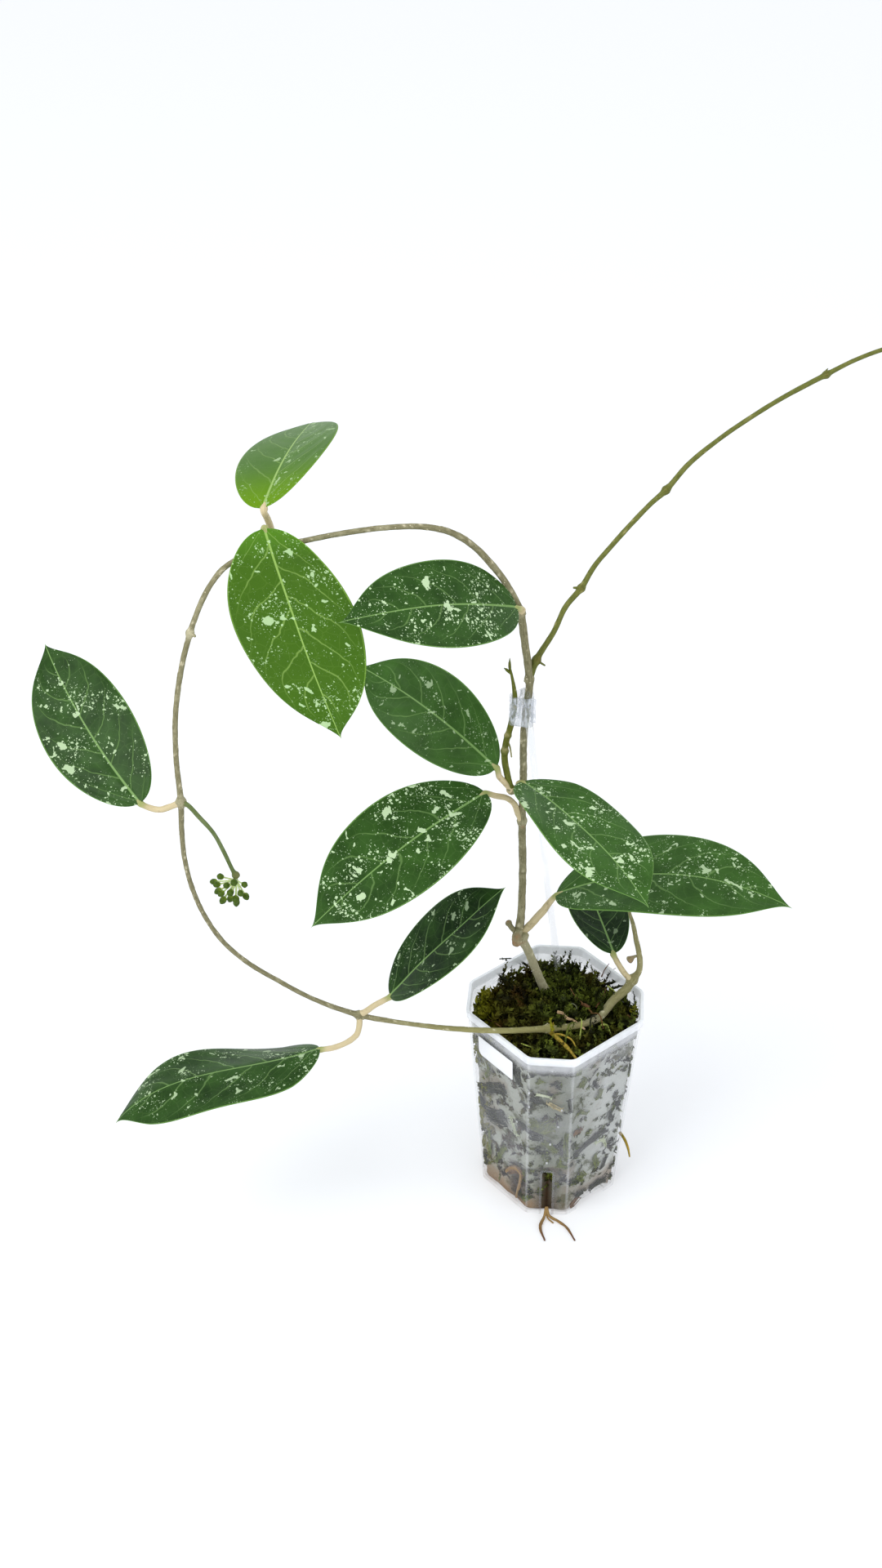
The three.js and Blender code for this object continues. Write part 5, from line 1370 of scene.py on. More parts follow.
# a sprig along +Z: a bent stalk with pairs of small pointed leaves
def makeSprig(name, seed, length, leaflets, leafLength):
    draw = random.Random(seed)
    bend = [draw.uniform(-0.5, 0.5), draw.uniform(-0.5, 0.5)]
    points, tips = [], []
    stalkRows = 5

    def spine(t):
        return Vector((bend[0] * length * t * t, bend[1] * length * t * t, length * t))
    for i in range(stalkRows):
        t = i / (stalkRows - 1)
        for j in range(3):
            turn = j * 2.094
            points.append(spine(t) + Vector((math.cos(turn), math.sin(turn), 0)) * 0.28 * (1 - 0.8 * t))
            tips.append(t)
    faces = ringFaces(stalkRows, 3)
    for i in range(leaflets):
        t = 0.15 + 0.85 * i / leaflets
        turn = i * 2.4 + draw.uniform(-0.4, 0.4)
        out = Vector((math.cos(turn), math.sin(turn), draw.uniform(0.5, 1.0))).normalized()
        flat = Vector((-math.sin(turn), math.cos(turn), 0))
        size = leafLength * (1.1 - 0.6 * t) * draw.uniform(0.8, 1.2)
        start = len(points)
        root = spine(t)
        points += [root - flat * 0.25, root + flat * 0.25, root + out * size * 0.5 + flat * size * 0.3,
                   root + out * size * 0.5 - flat * size * 0.3,
                   root + out * size + Vector((0, 0, size * 0.15))]
        tips += [t, t, min(1, t + 0.3), min(1, t + 0.3), 1.0]
        faces += [(start, start + 1, start + 2, start + 3), (start + 3, start + 2, start + 4)]
    sprig = makePiece(name, points, faces, [], attributes={"tipward": tips})
    scene.collection.objects.unlink(sprig)
    return sprig


# sprigs: length, leaflets and their length, in millimetres
sprigKinds = [(6, 16, 2.9), (8, 20, 2.6), (5, 12, 3.2), (10, 20, 2.2)]
sprigs = bpy.data.collections.new("sprigs")
for number, (length, leaflets, leafLength) in enumerate(sprigKinds):
    sprigs.objects.link(makeSprig("sprig%d" % number, number + 3, length, leaflets, leafLength))


fullTurn = 6.2832


# strews sprigs over the part of the ball where the mark lies between two limits; laid flat or standing
def strewSprigs(name, mark, limits, fronds, flat=False):
    tree = startGrowth(name, {
        "Sprigs": "Collection", "Density": "Float", "Smallest": "Float", "Largest": "Float", "Lean": "Float",
        "Seed": "Int", "Material": "Material"})
    given = add(tree, "NodeGroupInput")
    held = add(tree, "GeometryNodeInputNamedAttribute", {"data_type": "FLOAT"}, {"Name": mark})
    over = add(tree, "FunctionNodeCompare", {"data_type": "FLOAT", "operation": "GREATER_THAN"}, {
        0: held.outputs["Attribute"], 1: limits[0]})
    below = add(tree, "FunctionNodeCompare", {"data_type": "FLOAT", "operation": "LESS_THAN"}, {
        0: held.outputs["Attribute"], 1: limits[1]})
    chosen = add(tree, "FunctionNodeBooleanMath", "AND", {0: over, 1: below})
    spots = add(tree, "GeometryNodeDistributePointsOnFaces", {"distribute_method": "RANDOM"}, {
        "Mesh": given.outputs["Geometry"], "Selection": chosen, "Density": given.outputs["Density"],
        "Seed": given.outputs["Seed"]})
    forms = add(tree, "GeometryNodeCollectionInfo", None, {
        "Collection": given.outputs["Sprigs"], "Separate Children": True, "Reset Children": True})
    if flat:
        spin = add(tree, "FunctionNodeRandomValue", {"data_type": "FLOAT"},
                   {2: 0.0, 3: fullTurn, "Seed": given.outputs["Seed"]})
        spun = add(tree, "FunctionNodeAxisAngleToRotation", None,
                   {"Axis": (0.0, 1.0, 0.0), "Angle": spin.outputs[1]})
        laid = add(tree, "FunctionNodeAlignRotationToVector", {"axis": "Y"},
                   {"Vector": spots.outputs["Normal"]})
        turn = add(tree, "FunctionNodeRotateRotation", {"rotation_space": "LOCAL"},
                   {"Rotation": laid, "Rotate By": spun})
    else:
        leanBack = add(tree, "Math", "MULTIPLY", {0: given.outputs["Lean"], 1: -1.0})
        lowTurn = add(tree, "CombineXYZ", None, {0: leanBack, 1: leanBack, 2: 0.0})
        highTurn = add(tree, "CombineXYZ", None, {0: given.outputs["Lean"], 1: given.outputs["Lean"],
                                                  2: fullTurn})
        turn = add(tree, "FunctionNodeRandomValue", {"data_type": "FLOAT_VECTOR"}, {
            0: lowTurn, 1: highTurn, "Seed": given.outputs["Seed"]})
    size = add(tree, "FunctionNodeRandomValue", {"data_type": "FLOAT"}, {
        2: given.outputs["Smallest"], 3: given.outputs["Largest"], "Seed": given.outputs["Seed"]})
    placed = add(tree, "GeometryNodeInstanceOnPoints", None, {
        "Points": spots.outputs["Points"], "Instance": forms, "Pick Instance": True,
        "Rotation": turn.outputs[0], "Scale": size.outputs[1]})
    shade = add(tree, "FunctionNodeRandomValue", {"data_type": "FLOAT"}, {2: 0.0, 3: 1.0, "Seed": 77})
    tinted = add(tree, "GeometryNodeStoreNamedAttribute", {"data_type": "FLOAT", "domain": "INSTANCE"}, {
        "Geometry": placed, "Name": "tint", "Value": shade.outputs[1]})
    real = add(tree, "GeometryNodeRealizeInstances", None, {"Geometry": tinted})
    dressed = add(tree, "GeometryNodeSetMaterial", None, {"Geometry": real,
                                                          "Material": given.outputs["Material"]})
    add(tree, "NodeGroupOutput", None, {"Geometry": dressed})
    return grow(name, ball.data, tree, {
        "Sprigs": sprigs, "Density": float(fronds["density"]), "Smallest": fronds["smallest"],
        "Largest": fronds["largest"], "Lean": fronds["lean"], "Seed": fronds["seed"],
        "Material": frondSkin})


# fronds that would poke through the wall are folded back inside it
def keepInside(piece):
    away = np.zeros(len(piece.data.vertices) * 3, np.float32)
    piece.data.vertices.foreach_get("co", away)
    away = away.reshape(-1, 3)
    side, cut = wallsAt(away[:, 2] / mm)
    for number in range(8):
        turn = number * math.pi / 4 + pot["turn"]
        limit = (side if number % 2 else cut) - pot["wall"] - 0.25
        over = np.maximum(0, (away[:, 0] * math.cos(turn) + away[:, 1] * math.sin(turn)) / mm - limit)
        away[:, 0] -= over * math.cos(turn) * mm
        away[:, 1] -= over * math.sin(turn) * mm
    away[:, 2] = np.maximum(away[:, 2], (pot["floor"] + 0.4) * mm)
    piece.data.vertices.foreach_set("co", away.ravel())
    piece.data.update()


# where moss lies against the wall: broken drifts, densest on the left
cling = (smoothNoise(points, 11.0, 4) + 0.5 * smoothNoise(points, 5.0, 9)
         + 0.18 * smoothStep(15, -25, points[:, 0]))
cling = np.where((points[:, 2] < moss["edge"] - 5) & (points[:, 2] > 9), cling, -1.0)
markPoints(ball.data, "cling", cling)
onTop = (0.4, 2.0)
frondPiece = strewSprigs("mossFronds", "crown", onTop, moss["fronds"])
keepInside(frondPiece)
# the longest fronds stand out ragged over the rest
longPiece = strewSprigs("longFronds", "crown", onTop, moss["longFronds"])
keepInside(longPiece)
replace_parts(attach(longPiece, "root"), "moss")
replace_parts(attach(frondPiece, "root"), "moss")
clingPiece = strewSprigs("clingingFronds", "cling", (0.2, 9.0), moss["clinging"], flat=True)
keepInside(clingPiece)
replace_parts(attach(clingPiece, "root"), "moss")
print("moss planted:", len(frondPiece.data.polygons), "and", len(clingPiece.data.polygons), "faces")


# small things caught in the moss and pressed against the wall

# soft plant matter: two tones in fine cloudy patches, dull unless wet
def plantBit(name, low, high, roughness=0.75):
    material, tree = startMaterial(name)
    coords = add(tree, "TexCoord")
    cloud = add(tree, "TexNoise", None, {"Vector": coords.outputs["Object"], "Scale": 700.0, "Detail": 3.0,
                                         "Roughness": 0.6})
    tone = add(tree, "MixRGB", None, {
        "Fac": add(tree, "MapRange", None, {"Value": cloud, "From Min": 0.35, "From Max": 0.65}),
        "Color1": linear(low), "Color2": linear(high)})
    bump = add(tree, "Bump", None, {"Strength": 0.5, "Distance": 0.0002, "Height": cloud})
    shader = add(tree, "BsdfPrincipled", None, {
        "Base Color": tone, "Roughness": roughness, "Specular IOR Level": 0.2, "Normal": bump})
    add(tree, "OutputMaterial", None, {"Surface": shader})
    return material


bitSkins = {
    "dark": plantBit("darkMossStem", "#14150A", "#2E3216"),
    "olive": plantBit("oliveMossStem", "#3F4A18", "#6B7427"),
    "brown": plantBit("brownTwig", "#4A3218", "#7A5A33"),
    "tan": plantBit("tanTwig", "#8D7F55", "#B9AC80"),
    "pale": plantBit("paleFibre", "#A7B08C", "#CDD3B8"),
    "rusty": plantBit("rustyScale", "#543520", "#7E5738"),
    "bract": plantBit("driedBract", "#B08E68", "#DCC09A"),
    "grey": plantBit("greyCurl", "#5C6046", "#7E8164"),
    "strand": plantBit("freshMossStrand", "#7E8A30", "#B3BE66"),
    "yellow": plantBit("yellowMossTip", "#6E6E16", "#979422"),
    # white blobs standing for glints on water beads: painted highlights
    "paintedGlint": plantBit("paintedGlintBead", "#E6EAF0", "#FFFFFF", 0.08)}
bitKinds = list(bitSkins)

# The bits below lie where the photograph shows them. Their points were read in two enlarged crops of
# it, in the crops' own pixels, and are cast along the camera's lines of sight onto the wall or the mound.
wallCrop = {"left": 585, "top": 1290, "times": 7}
moundCrop = {"left": 570, "top": 1140, "times": 6}


# where the line of sight through a crop's point meets the plane at this distance along its normal
def castTo(crop, point, normal, distance):
    aside = (crop["left"] + point[0] / crop["times"] - view["photo"][0] / 2) / view["focal"]
    above = (view["photo"][1] / 2 - crop["top"] - point[1] / crop["times"]) / view["focal"]
    tilt, eye = math.radians(view["pitchDown"]), Vector(view["place"])
    sight = Vector((aside, math.cos(tilt) + above * math.sin(tilt), above * math.cos(tilt) - math.sin(tilt)))
    normal = Vector(normal)
    return eye + sight * ((distance - normal.dot(eye)) / normal.dot(sight))


# a point on a wall of the pot that faces the photograph, a little inside its outer face
def onWall(wall, point, inset=1.45):
    which = int(wall == "front")
    low, high = wallsAt(0)[which], wallsAt(pot["height"])[which]
    turn = math.radians({"left": -135, "front": -90, "right": -45}[wall]) + pot["turn"]
    return castTo(wallCrop, point, (math.cos(turn), math.sin(turn), (low - high) / pot["height"]),
                  low - inset)


# a point and radius of a bit: a lying one goes from height to height, a standing one keeps its foot's depth
def onMound(point, radii, height, share, foot):
    if isinstance(height, tuple):
        spot = castTo(moundCrop, point, (0, 0, 1), height[0] + (height[1] - height[0]) * share)
    else:
        spot = castTo(moundCrop, point, (0, 1, 0), castTo(moundCrop, foot, (0, 0, 1), height).y)
    return (*spot, radii[0] + (radii[1] - radii[0]) * share)


# strands pressed on the inside of the wall: which wall, kind, half width in millimetres, line in wallCrop
pressed = [
    ("left", "dark", 3.2, [(30, 300), (100, 300), (230, 320)]),
    ("left", "dark", 4.6, [(70, 520), (130, 540), (230, 560)]),
    ("left", "dark", 3.0, [(20, 350), (40, 450)]),
    ("left", "dark", 1.4, [(350, 590), (400, 630), (450, 690)]),
    ("left", "dark", 2.0, [(325, 120), (330, 180), (345, 270)]),
    ("left", "olive", 1.6, [(150, 920), (190, 870), (240, 800)]),
    ("left", "olive", 1.6, [(95, 640), (100, 740), (110, 860)]),
    ("left", "pale", 1.0, [(280, 540), (300, 600), (330, 700)]),
    ("left", "olive", 1.5, [(90, 110), (100, 160), (70, 190)]),
    ("left", "dark", 1.0, [(370, 400), (410, 450)]),
    ("left", "olive", 1.6, [(390, 1250), (450, 1240)]),
    ("left", "brown", 1.8, [(260, 1010), (310, 990), (380, 1020)]),
    ("front", "dark", 1.0, [(445, 395), (520, 410), (600, 435)]),
    ("front", "tan", 0.9, [(600, 425), (660, 460), (720, 490)]),
    ("front", "olive", 4.2, [(450, 600), (540, 650), (650, 610)]),
    ("front", "dark", 3.0, [(460, 700), (520, 720)]),
    ("front", "olive", 1.3, [(765, 690), (760, 800), (765, 905)]),
    ("front", "dark", 1.3, [(510, 160), (560, 190), (620, 170)]),
    ("front", "olive", 1.0, [(520, 260), (550, 240)]),
    ("front", "dark", 1.1, [(795, 400), (800, 510)]),
    ("front", "olive", 1.6, [(560, 760), (620, 800), (680, 850)]),
    ("front", "pale", 0.7, [(640, 380), (560, 360), (500, 350)]),
    ("front", "olive", 1.5, [(690, 960), (760, 980)]),
    ("right", "olive", 1.5, [(880, 120), (875, 180)]),
    ("right", "olive", 2.2, [(930, 220), (890, 290)]),
    ("right", "olive", 1.8, [(1060, 310), (1030, 390)]),
    ("right", "dark", 1.2, [(1185, 340), (1185, 370)]),
    ("right", "dark", 1.6, [(1150, 490), (1120, 560), (1160, 560)]),
    ("right", "brown", 1.4, [(830, 690), (890, 650)]),
    ("right", "dark", 1.7, [(830, 880), (920, 790), (1000, 720), (1095, 650)]),
    ("right", "pale", 0.9, [(1010, 760), (1080, 720), (1100, 780)]),
    ("right", "dark", 2.0, [(960, 1160), (1020, 1110), (1090, 1080)]),
    ("right", "olive", 2.6, [(870, 1040), (900, 1060)]),
    ("right", "dark", 1.6, [(850, 1220), (900, 1180)]),
    ("right", "dark", 1.8, [(1060, 980), (1090, 900)]),
    ("right", "brown", 1.6, [(800, 1320), (850, 1300), (870, 1230)]),
    ("right", "olive", 1.2, [(880, 500), (940, 510)]),
    ("right", "olive", 1.5, [(1000, 880), (1030, 960)]),
]
# white spots painted where water beads catch the light: painted glints
glintSpots = [
    ("front", (720, 500)), ("front", (640, 160)), ("front", (690, 640)), ("front", (620, 790)),
    ("front", (590, 950)), ("left", (430, 350)), ("left", (325, 590)), ("right", (1100, 290)),
    ("right", (1040, 750)), ("left", (430, 470))
]
glintInset = 0.3
# the root that curls down inside the wall
wallRootPoints = [(250, 1010), (290, 975), (340, 985), (370, 1030), (365, 1100), (345, 1170), (330, 1230)]
wallRootRadii = [1, 1.15, 1.2, 1.1, 1, 0.85, 0.6]
wallRootInset = 1.9
shape = Shape()
random.seed(21)
for wall, kind, wide, points in pressed:
    line = [onWall(wall, point) for point in points]
    slot = bitKinds.index(kind)
    first, last = line[0], line[-1]
    along = (last - first).normalized()
    outward = Vector((first.x + last.x, first.y + last.y, 0)).normalized()
    aside = outward.cross(along).normalized()
    # a band is made of many fine fibres, most of them along it
    for _ in range(int(3 + wide * 4)):
        shift = random.uniform(-wide, wide)
        trim = random.uniform(0.0, 0.5)
        route = []
        for k in range(len(line)):
            share = trim * 0.5 + k / (len(line) - 1) * (1 - trim)
            base = first.lerp(last, share)
            base = base.lerp(min(line, key=lambda spot: (spot - base).length), 0.7)
            off = shift + random.uniform(-0.5, 0.5) * wide * 0.6
            spot = base + aside * off + along * random.uniform(-1, 1) * wide * 0.5
            route.append((*spot, random.uniform(0.22, 0.42)))
        addStem(shape, route, 6, 1.2, [], 0.15, 0.0, random.randrange(90), slot=slot)
        # short side twigs
        for _ in range(2):
            start = Vector(route[random.randrange(len(route))][:3])
            way = (aside * random.choice((-1, 1)) + along * random.uniform(-0.8, 0.8)).normalized()
            tip = start + way * random.uniform(1.2, 2.8)
            addStem(shape, [(*start, 0.3), (*tip, 0.1)], 5, 1.0, [], 0.0, 0.0, 1, slot=slot)
# the painted glints: small white blobs just inside the wall
for wall, point in glintSpots:
    spot = onWall(wall, point, glintInset)
    low, high = spot - Vector((0, 0, 0.5)), spot + Vector((0, 0, 0.5))
    addStem(shape, [(*low, 0.55), (*high, 0.5)], 8, 0.5, [], 0.1, 0.0, 3, slot=bitKinds.index("paintedGlint"))
pressedPiece = shape.piece("pressedStrands", bitSkins.values())
keepInside(pressedPiece)
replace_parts(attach(pressedPiece, "root"), "moss")

# loose bits on the mound: kind, first and last radius, height or heights in millimetres, line in moundCrop
looseBits = [
    ("dark", (1, 0.3), (112, 115), [(310, 370), (270, 345), (225, 305)]),
    ("dark", (0.7, 0.3), (113, 119.5), [(445, 250), (400, 218), (340, 203), (250, 205)]),
    ("bract", (0.7, 1.3), (117, 120.5), [(875, 722), (840, 690), (790, 655), (745, 640), (715, 605),
        (680, 595)]),
    ("rusty", (1.2, 1.6), (118, 118), [(855, 535), (880, 545), (905, 560)]),
    ("brown", (0.35, 0.6), (121, 117), [(770, 420), (800, 470), (870, 540), (930, 600)]),
    ("rusty", (0.35, 0.6), (121, 116), [(1032, 425), (1010, 480), (960, 560)]),
    ("grey", (0.8, 0.6), (117.5, 118.5), [(730, 555), (755, 533), (800, 540), (817, 570), (785, 590),
        (748, 580)]),
    ("rusty", (0.6, 0.25), 114, [(1000, 335), (1022, 285), (1055, 240)]),
    ("rusty", (0.5, 0.2), 114, [(1040, 320), (1075, 290), (1105, 272)]),
    ("dark", (0.9, 0.3), 113, [(1040, 390), (1100, 372), (1160, 350)]),
    ("dark", (0.9, 0.3), 113, [(1060, 430), (1120, 410), (1165, 400)]),
    ("olive", (0.6, 0.2), 114, [(955, 370), (950, 330), (958, 295)]),
    ("dark", (1, 0.3), 113, [(700, 330), (690, 290), (705, 262)]),
    ("dark", (0.9, 0.3), 113, [(580, 320), (575, 290), (590, 270)]),
    ("olive", (0.8, 0.3), 113, [(390, 310), (395, 285), (430, 262)]),
    ("strand", (0.5, 0.3), (113, 112), [(410, 828), (480, 850), (560, 865)]),
    ("strand", (0.55, 0.3), (112, 110), [(590, 868), (640, 885), (700, 900), (745, 938)]),
    ("olive", (0.9, 0.3), (117, 111), [(990, 660), (1035, 700), (1075, 765)]),
    ("olive", (0.8, 0.3), (116, 111), [(985, 700), (990, 745), (1010, 800)]),
    ("strand", (0.6, 0.3), (116, 113), [(905, 690), (920, 720), (925, 750)]),
    ("olive", (0.9, 0.3), (113, 111), [(960, 800), (905, 840), (870, 905)]),
    ("strand", (0.6, 0.3), (113, 111), [(940, 760), (960, 800), (950, 850)]),
    ("brown", (0.45, 0.35), (111, 114), [(165, 650), (210, 672), (262, 705)]),
    ("strand", (0.7, 0.3), (117, 112), [(1000, 690), (1040, 693), (1065, 750)]),
    ("yellow", (1.1, 0.25), 121, [(640, 725), (628, 685), (620, 640)]),
    ("yellow", (1, 0.5), (112, 113), [(1215, 590), (1240, 560), (1250, 545)]),
    ("brown", (0.8, 0.5), (112, 112), [(1190, 620), (1235, 650)]),
    ("yellow", (1, 0.5), (110, 112), [(110, 545), (80, 520), (85, 480)]),
    ("strand", (0.5, 0.3), (119, 117), [(1045, 405), (1090, 440), (1130, 480)]),
    ("olive", (0.6, 0.3), (117, 117), [(480, 575), (530, 590), (580, 600)]),
]
# strands that lie over the vine where it crosses the mound, in millimetres
overVine = [
    ("olive", [(4.0, -26.5, 115.0, 0.5), (6.0, -22.5, 123.3, 0.42), (9.5, -17.5, 121.0, 0.3)]),
    ("strand", [(11.5, -24.0, 115.0, 0.4), (12.5, -19.5, 123.2, 0.35), (12.0, -14.5, 121.0, 0.25)]),
    ("dark", [(17.0, -21.5, 115.0, 0.6), (17.5, -17.0, 123.4, 0.45), (20.5, -12.5, 121.5, 0.3)]),
    ("brown", [(24.0, -17.0, 116.0, 0.4), (21.5, -14.5, 123.6, 0.35), (17.5, -13.0, 123.0, 0.25)]),
]
# some kinds look thinner than they were measured
bitGirth = {"rusty": 0.6, "bract": 0.72, "grey": 0.55, "brown": 0.8, "strand": 0.9}
shape = Shape()
looseRoutes = []
for kind, radii, height, points in looseBits:
    last = len(points) - 1
    line = [onMound(point, radii, height, k / last, points[0]) for k, point in enumerate(points)]
    looseRoutes.append((kind, line))
for number, (kind, route) in enumerate(looseRoutes + overVine):
    route = [(x, y, z, radius * bitGirth.get(kind, 1)) for x, y, z, radius in route]
    slot = bitKinds.index(kind)
    addStem(shape, route, 8, 0.6, [], 0.2, 0.0, 80 + number, slot=slot)
    if kind in ("dark", "olive", "yellow"):
        # small pointed leaves up the strand
        for k in range(10):
            share = 0.15 + 0.08 * k
            start = Vector(route[0][:3]).lerp(Vector(route[-1][:3]), share)
            way = Vector((random.uniform(-1, 1), random.uniform(-1, 1), random.uniform(0, 1))).normalized()
            tip = start + way * random.uniform(1.0, 2.0)
            leaflet = [(*start, 0.25), (*start.lerp(tip, 0.5), 0.35), (*tip, 0.08)]
            addStem(shape, leaflet, 5, 0.6, [], 0.0, 0.0, 1, slot=slot)
bitsPiece = shape.piece("looseBits", bitSkins.values())
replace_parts(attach(bitsPiece, "root"), "moss")
print("moss dressed")


# label, rod and tape

# matt sticker paper: white, with the faintest fibre
labelPaper, tree = startMaterial("stickerPaper")
coords = add(tree, "TexCoord")
fibre = add(tree, "TexNoise", None, {"Vector": coords.outputs["Object"], "Scale": 1500.0, "Detail": 4.0})
white = add(tree, "MixRGB", None, {"Fac": fibre, "Color1": linear("#E9EAEC"), "Color2": linear("#F8F9FA")})
bump = add(tree, "Bump", None, {"Strength": 0.15, "Distance": 0.0001, "Height": fibre})
shader = add(tree, "BsdfPrincipled", None, {"Base Color": white, "Roughness": 0.5, "Normal": bump})
add(tree, "OutputMaterial", None, {"Surface": shader})

label = {"width": 26.5, "height": 12.5, "thickness": 0.25, "level": 102, "offset": -2, "gap": 0.12,
         "round": 3, "smallRound": 0.6}
turn = -3 * math.pi / 4 + pot["turn"]
slope = (wallsAt(pot["height"])[0] - wallsAt(0)[0]) / pot["height"]
outward = Vector((math.cos(turn), math.sin(turn), -slope)).normalized()
sideways = Vector((-math.sin(turn), math.cos(turn), 0))
upward = outward.cross(sideways)
middle = Vector((math.cos(turn), math.sin(turn), 0)) * (wallsAt(label["level"])[0] + label["gap"])
middle += sideways * label["offset"] + Vector((0, 0, label["level"]))
halfW, halfH = label["width"] / 2, label["height"] / 2
outline = []
small = label["smallRound"]
for cx, cy, start, wide in ((halfW, halfH, 0, small), (-halfW, halfH, 90, small),
                            (-halfW, -halfH, 180, label["round"]), (halfW, -halfH, 270, small)):
    for k in range(7):
        a = math.radians(start + 15 * k)
        outline.append((cx - math.copysign(wide, cx) + wide * math.cos(a),
                        cy - math.copysign(wide, cy) + wide * math.sin(a)))
points = []
for lift, shrink in ((0.0, 0.0), (label["thickness"] * 0.7, 0.0), (label["thickness"], 0.12)):
    for a, b in outline:
        a -= math.copysign(shrink, a)
        b -= math.copysign(shrink, b)
        # one corner has begun to curl away from the wall
        curl = 0.35 * smoothStep(8, 18, a * 0.9 - b * 0.8)
        points.append(middle + sideways * a + upward * b + outward * (lift + float(curl)))
faces = ringFaces(3, len(outline)) + endFaces(3, len(outline))
labelPiece = makePiece("blankLabel", points, faces, [labelPaper])
turnFacesOut(labelPiece)
labelPiece.data.set_sharp_from_angle(angle=math.radians(50))
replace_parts(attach(labelPiece, "root"), "label")

# cast acrylic rod: water clear and glossy, refracting what is behind it
acrylic, tree = startMaterial("clearAcrylicRod")
coords = add(tree, "TexCoord")
wear = add(tree, "TexNoise", None, {"Vector": coords.outputs["Object"], "Scale": 300.0, "Detail": 3.0})
roughness = add(tree, "MapRange", None, {"Value": wear, "From Min": 0.4, "From Max": 0.8, "To Min": 0.02,
                                         "To Max": 0.12})
shader = add(tree, "BsdfPrincipled", None, {
    "Base Color": linear("#F4F8FC"), "Roughness": roughness, "IOR": 1.49, "Transmission Weight": 1.0,
    "Alpha": 0.16})
add(tree, "OutputMaterial", None, {"Surface": shader})
rod = {"low": (5.5, 31.5, 92), "high": (-19.8, -5.6, 313), "radius": 2.0}
shape = Shape()
halfway = Vector(rod["low"]).lerp(Vector(rod["high"]), 0.5)
shape.join(*stem([(*spot, rod["radius"]) for spot in (rod["low"], halfway, rod["high"])], 28, 6.0))
rodPiece = shape.piece("clearRod", [acrylic])
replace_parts(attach(rodPiece, "root"), "support_rod")

# clear tape: thin, shiny and wrinkled, pale where layers overlap
tapeFilm, tree = startMaterial("clearTapeFilm")
coords = add(tree, "TexCoord")
pulled = add(tree, "Mapping", None, {"Vector": coords.outputs["Object"], "Scale": (1.0, 1.0, 0.35)})
wrinkle = add(tree, "TexNoise", None, {"Vector": pulled, "Scale": 700.0, "Detail": 3.0, "Distortion": 0.8})
milk = add(tree, "MapRange", None, {"Value": wrinkle, "From Min": 0.45, "From Max": 0.65, "To Min": 0.14,
                                    "To Max": 0.6})
tone = add(tree, "MixRGB", None, {"Fac": wrinkle, "Color1": linear("#AEB6C2"), "Color2": linear("#F2F5FA")})
bump = add(tree, "Bump", None, {"Strength": 0.9, "Distance": 0.0006, "Height": wrinkle})
shader = add(tree, "BsdfPrincipled", None, {
    "Base Color": tone, "Roughness": 0.12, "Specular IOR Level": 0.7, "Alpha": milk, "Normal": bump})
add(tree, "OutputMaterial", None, {"Surface": shader})
# what it holds are the rod, the vine and the shoot: their x, y and radius
tape = {"bottom": 295, "top": 311, "holds": [(-19, 1, 2.3), (-18.6, -4.2, 2.4), (-25.4, -3.2, 1.7)],
        "film": 0.25, "slack": 0.22, "tailFrom": (-17.2, -4.9), "tailTo": -14.9, "tailInset": 1.5}
around, levels = 72, 13
points = []
for level in range(levels):
    z = tape["bottom"] + (tape["top"] - tape["bottom"]) * level / (levels - 1)
    for i in range(around):
        turn = i / around * 2 * math.pi
        far = max(tape["holds"], key=lambda hold: hold[0] * math.cos(turn) + hold[1] * math.sin(turn)
                  + hold[2])
        x, y = far[0] + far[2] * math.cos(turn), far[1] + far[2] * math.sin(turn)
        # drawn in between what it holds, and creased
        pinch = 0.35 * noise.noise(Vector((x * 0.5, y * 0.5, z * 0.28)))
        pinch += 0.12 * noise.noise(Vector((x, y, z)) * 0.9)
        wide = tape["slack"] + pinch
        sag = 0.5 * noise.noise(Vector((x * 0.3, y * 0.3, level * 0.2)))
        points.append((x + wide * math.cos(turn), y + wide * math.sin(turn), z + sag))
faces = ringFaces(levels, around)
# the loose tail: two layers stuck together
start = len(points)
columns = 9
tailX, tailY = tape["tailFrom"]
for level in range(levels):
    tall = tape["top"] - tape["bottom"] - 2 * tape["tailInset"]
    z = tape["bottom"] + tape["tailInset"] + tall * level / (levels - 1)
    for i in range(columns):
        t = i / (columns - 1)
        points.append((tailX + (tape["tailTo"] - tailX) * t, tailY + 0.54 * t * math.sin(z * 0.35),
                       z + 0.25 * math.sin(t * 9 + z)))
for level in range(levels - 1):
    for i in range(columns - 1):
        a = start + level * columns + i
        faces.append((a, a + 1, a + columns + 1, a + columns))
tapePiece = makePiece("tapeTie", points, faces, [tapeFilm])
film = tapePiece.modifiers.new("film", "SOLIDIFY")
film.thickness = tape["film"] * mm
film.offset = 0.0
tapePiece = plainMesh(tapePiece, "tapeTie")
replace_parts(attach(tapePiece, "root"), "tape_tie")
print("label, rod and tape fixed")


# roots and small dry bits

# live root: tan and finely furred, rusty with age towards its tip
rootSkin, tree = startMaterial("furredRoot")
coords = add(tree, "TexCoord")
aged = add(tree, "Attribute", {"attribute_name": "fresh"}).outputs["Fac"]
fur = add(tree, "TexNoise", None, {"Vector": coords.outputs["Object"], "Scale": 1400.0, "Detail": 4.0,
                                   "Roughness": 0.7})
cloud = add(tree, "TexNoise", None, {"Vector": coords.outputs["Object"], "Scale": 260.0, "Detail": 3.0})
tan = add(tree, "MixRGB", None, {"Fac": cloud, "Color1": linear("#6C4E26"), "Color2": linear("#A6874C")})
tan = add(tree, "MixRGB", None, {"Fac": aged, "Color1": tan, "Color2": linear("#5E3A1C")})
tan = add(tree, "MixRGB", None, {
    "Fac": add(tree, "MapRange", None, {"Value": fur, "From Min": 0.5, "From Max": 0.72, "To Max": 0.35}),
    "Color1": tan, "Color2": linear("#D2B988")})
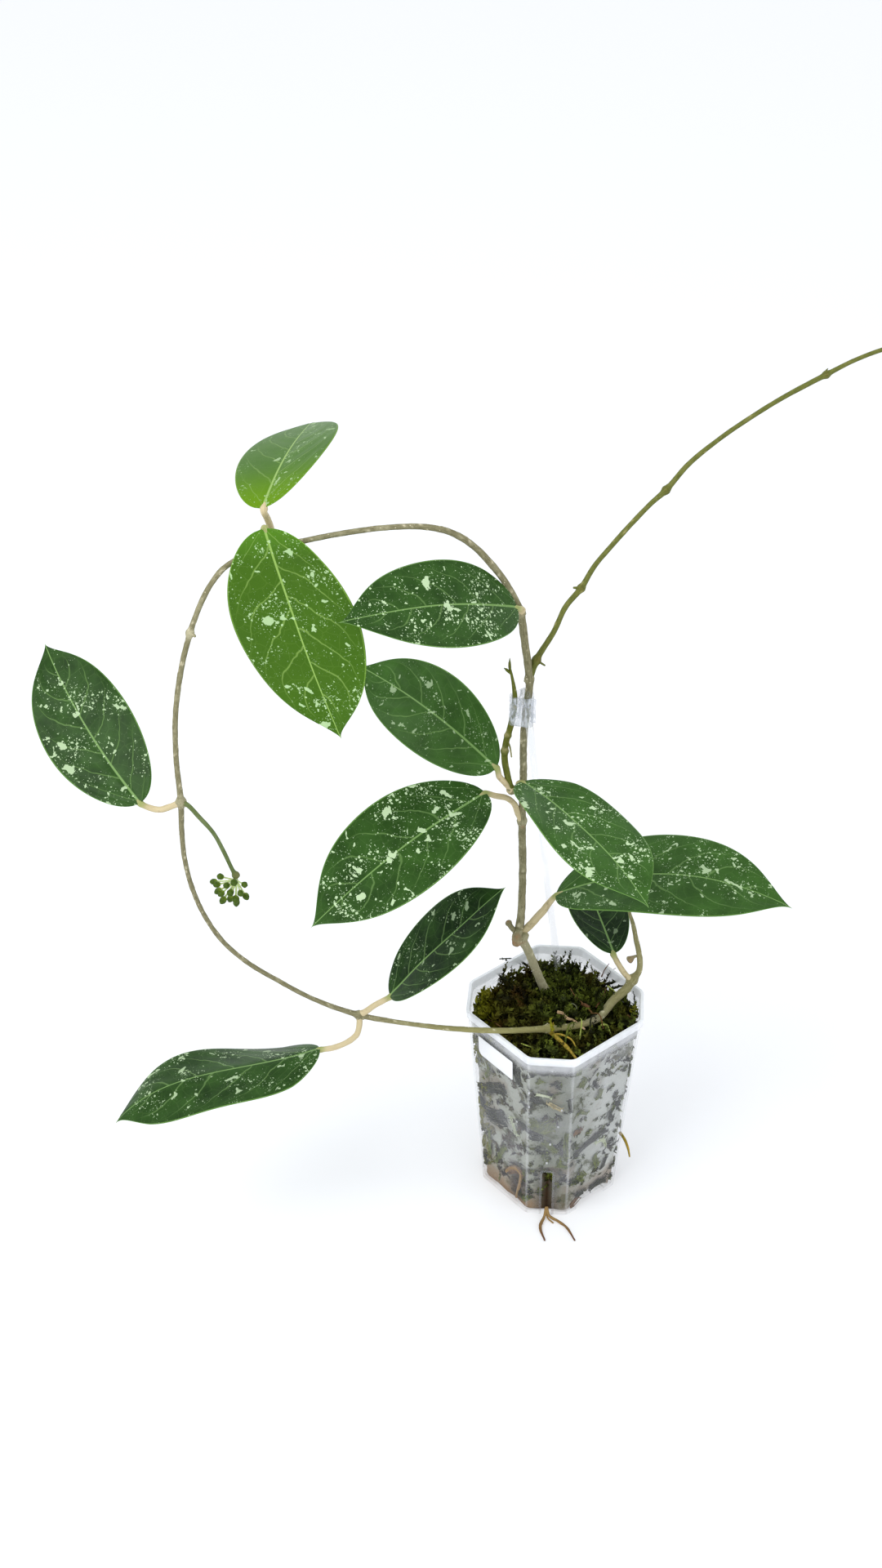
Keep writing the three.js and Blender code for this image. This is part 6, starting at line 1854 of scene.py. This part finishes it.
bump = add(tree, "Bump", None, {"Strength": 0.7, "Distance": 0.0003, "Height": fur})
shader = add(tree, "BsdfPrincipled", None, {"Base Color": tan, "Roughness": 0.8, "Normal": bump})
add(tree, "OutputMaterial", None, {"Surface": shader})

roots = {
    "aerial": [[(-2.3, -22.4, 117, 1), (1.5, -27, 116.5, 1), (6, -33, 115.5, 0.9), (10, -38, 113, 0.6)],
               [(-2.3, -22.4, 117, 0.6), (2, -23.8, 118, 0.5), (7, -27, 117.5, 0.5), (9, -31, 116.5, 0.3)],
               [(-2.3, -22.4, 117, 0.7), (-3, -23.3, 120, 0.6), (-2.2, -22.5, 125, 0.3)]],
    "aerialKnot": [(-3.6, -20.6, 117, 1.3), (-1.2, -23.4, 116.8, 1.2)],
    "drain": [[(-2.9, -35.4, 5, 0.9), (-4, -38.8, 2, 0.8), (-6.5, -45.5, 1, 0.8), (-4.5, -55, 0.7, 0.5)],
              [(-2.9, -35.4, 5, 0.9), (-1.4, -38.8, 2.2, 0.8), (3.2, -41.5, 1, 0.8), (7.5, -46, 0.9, 0.7),
               (11.5, -55, 0.6, 0.4)],
              [(-2.9, -35.4, 5, 0.6), (-2.4, -39.3, 1.4, 0.5), (0.5, -42.5, 0.7, 0.4)]],
    "side": [(37.4, -3.2, 29, 0.8), (39.5, -5, 27, 0.8), (41.5, -9, 24, 0.7), (42.5, -13, 20.5, 0.4)],
    "rustyFrom": -38, "rustyTo": -54}


# drain roots turn rusty towards their tips
def rootAge(points):
    return smoothStep(roots["rustyFrom"], roots["rustyTo"], points[:, 1])


# young aerial root: golden green and a little waxy
goldRoot = plantBit("goldenAerialRoot", "#7E7222", "#B4963A", 0.5)
shape = Shape()
for number, route in enumerate(roots["aerial"]):
    addStem(shape, route, 10, 0.6, [], 0.22, 0.0, 51 + number, 0.15)
addStem(shape, roots["aerialKnot"], 10, 0.5, [], 0.25, 0.0, 55, 0.0)
aerialPiece = shape.piece("aerialRoots", [goldRoot])
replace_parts(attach(aerialPiece, "root"), "aerial_roots")
shape = Shape()
for number, route in enumerate(roots["drain"]):
    addStem(shape, route, 10, 0.6, [], 0.25, 0.0, 61 + number, rootAge)
drainPiece = shape.piece("drainRoots", [rootSkin])
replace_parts(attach(drainPiece, "root"), "drain_roots")
shape = Shape()
wallRoot = [(*onWall("left", point, wallRootInset), radius)
            for point, radius in zip(wallRootPoints, wallRootRadii)]
addStem(shape, wallRoot, 10, 0.5, [], 0.25, 0.0, 66, 0.1)
addStem(shape, roots["side"], 10, 0.5, [], 0.2, 0.0, 71, 0.0, slot=1)
sidePiece = shape.piece("sideRoot", [rootSkin, goldRoot])
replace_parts(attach(sidePiece, "root"), "side_root")
print("roots grown")
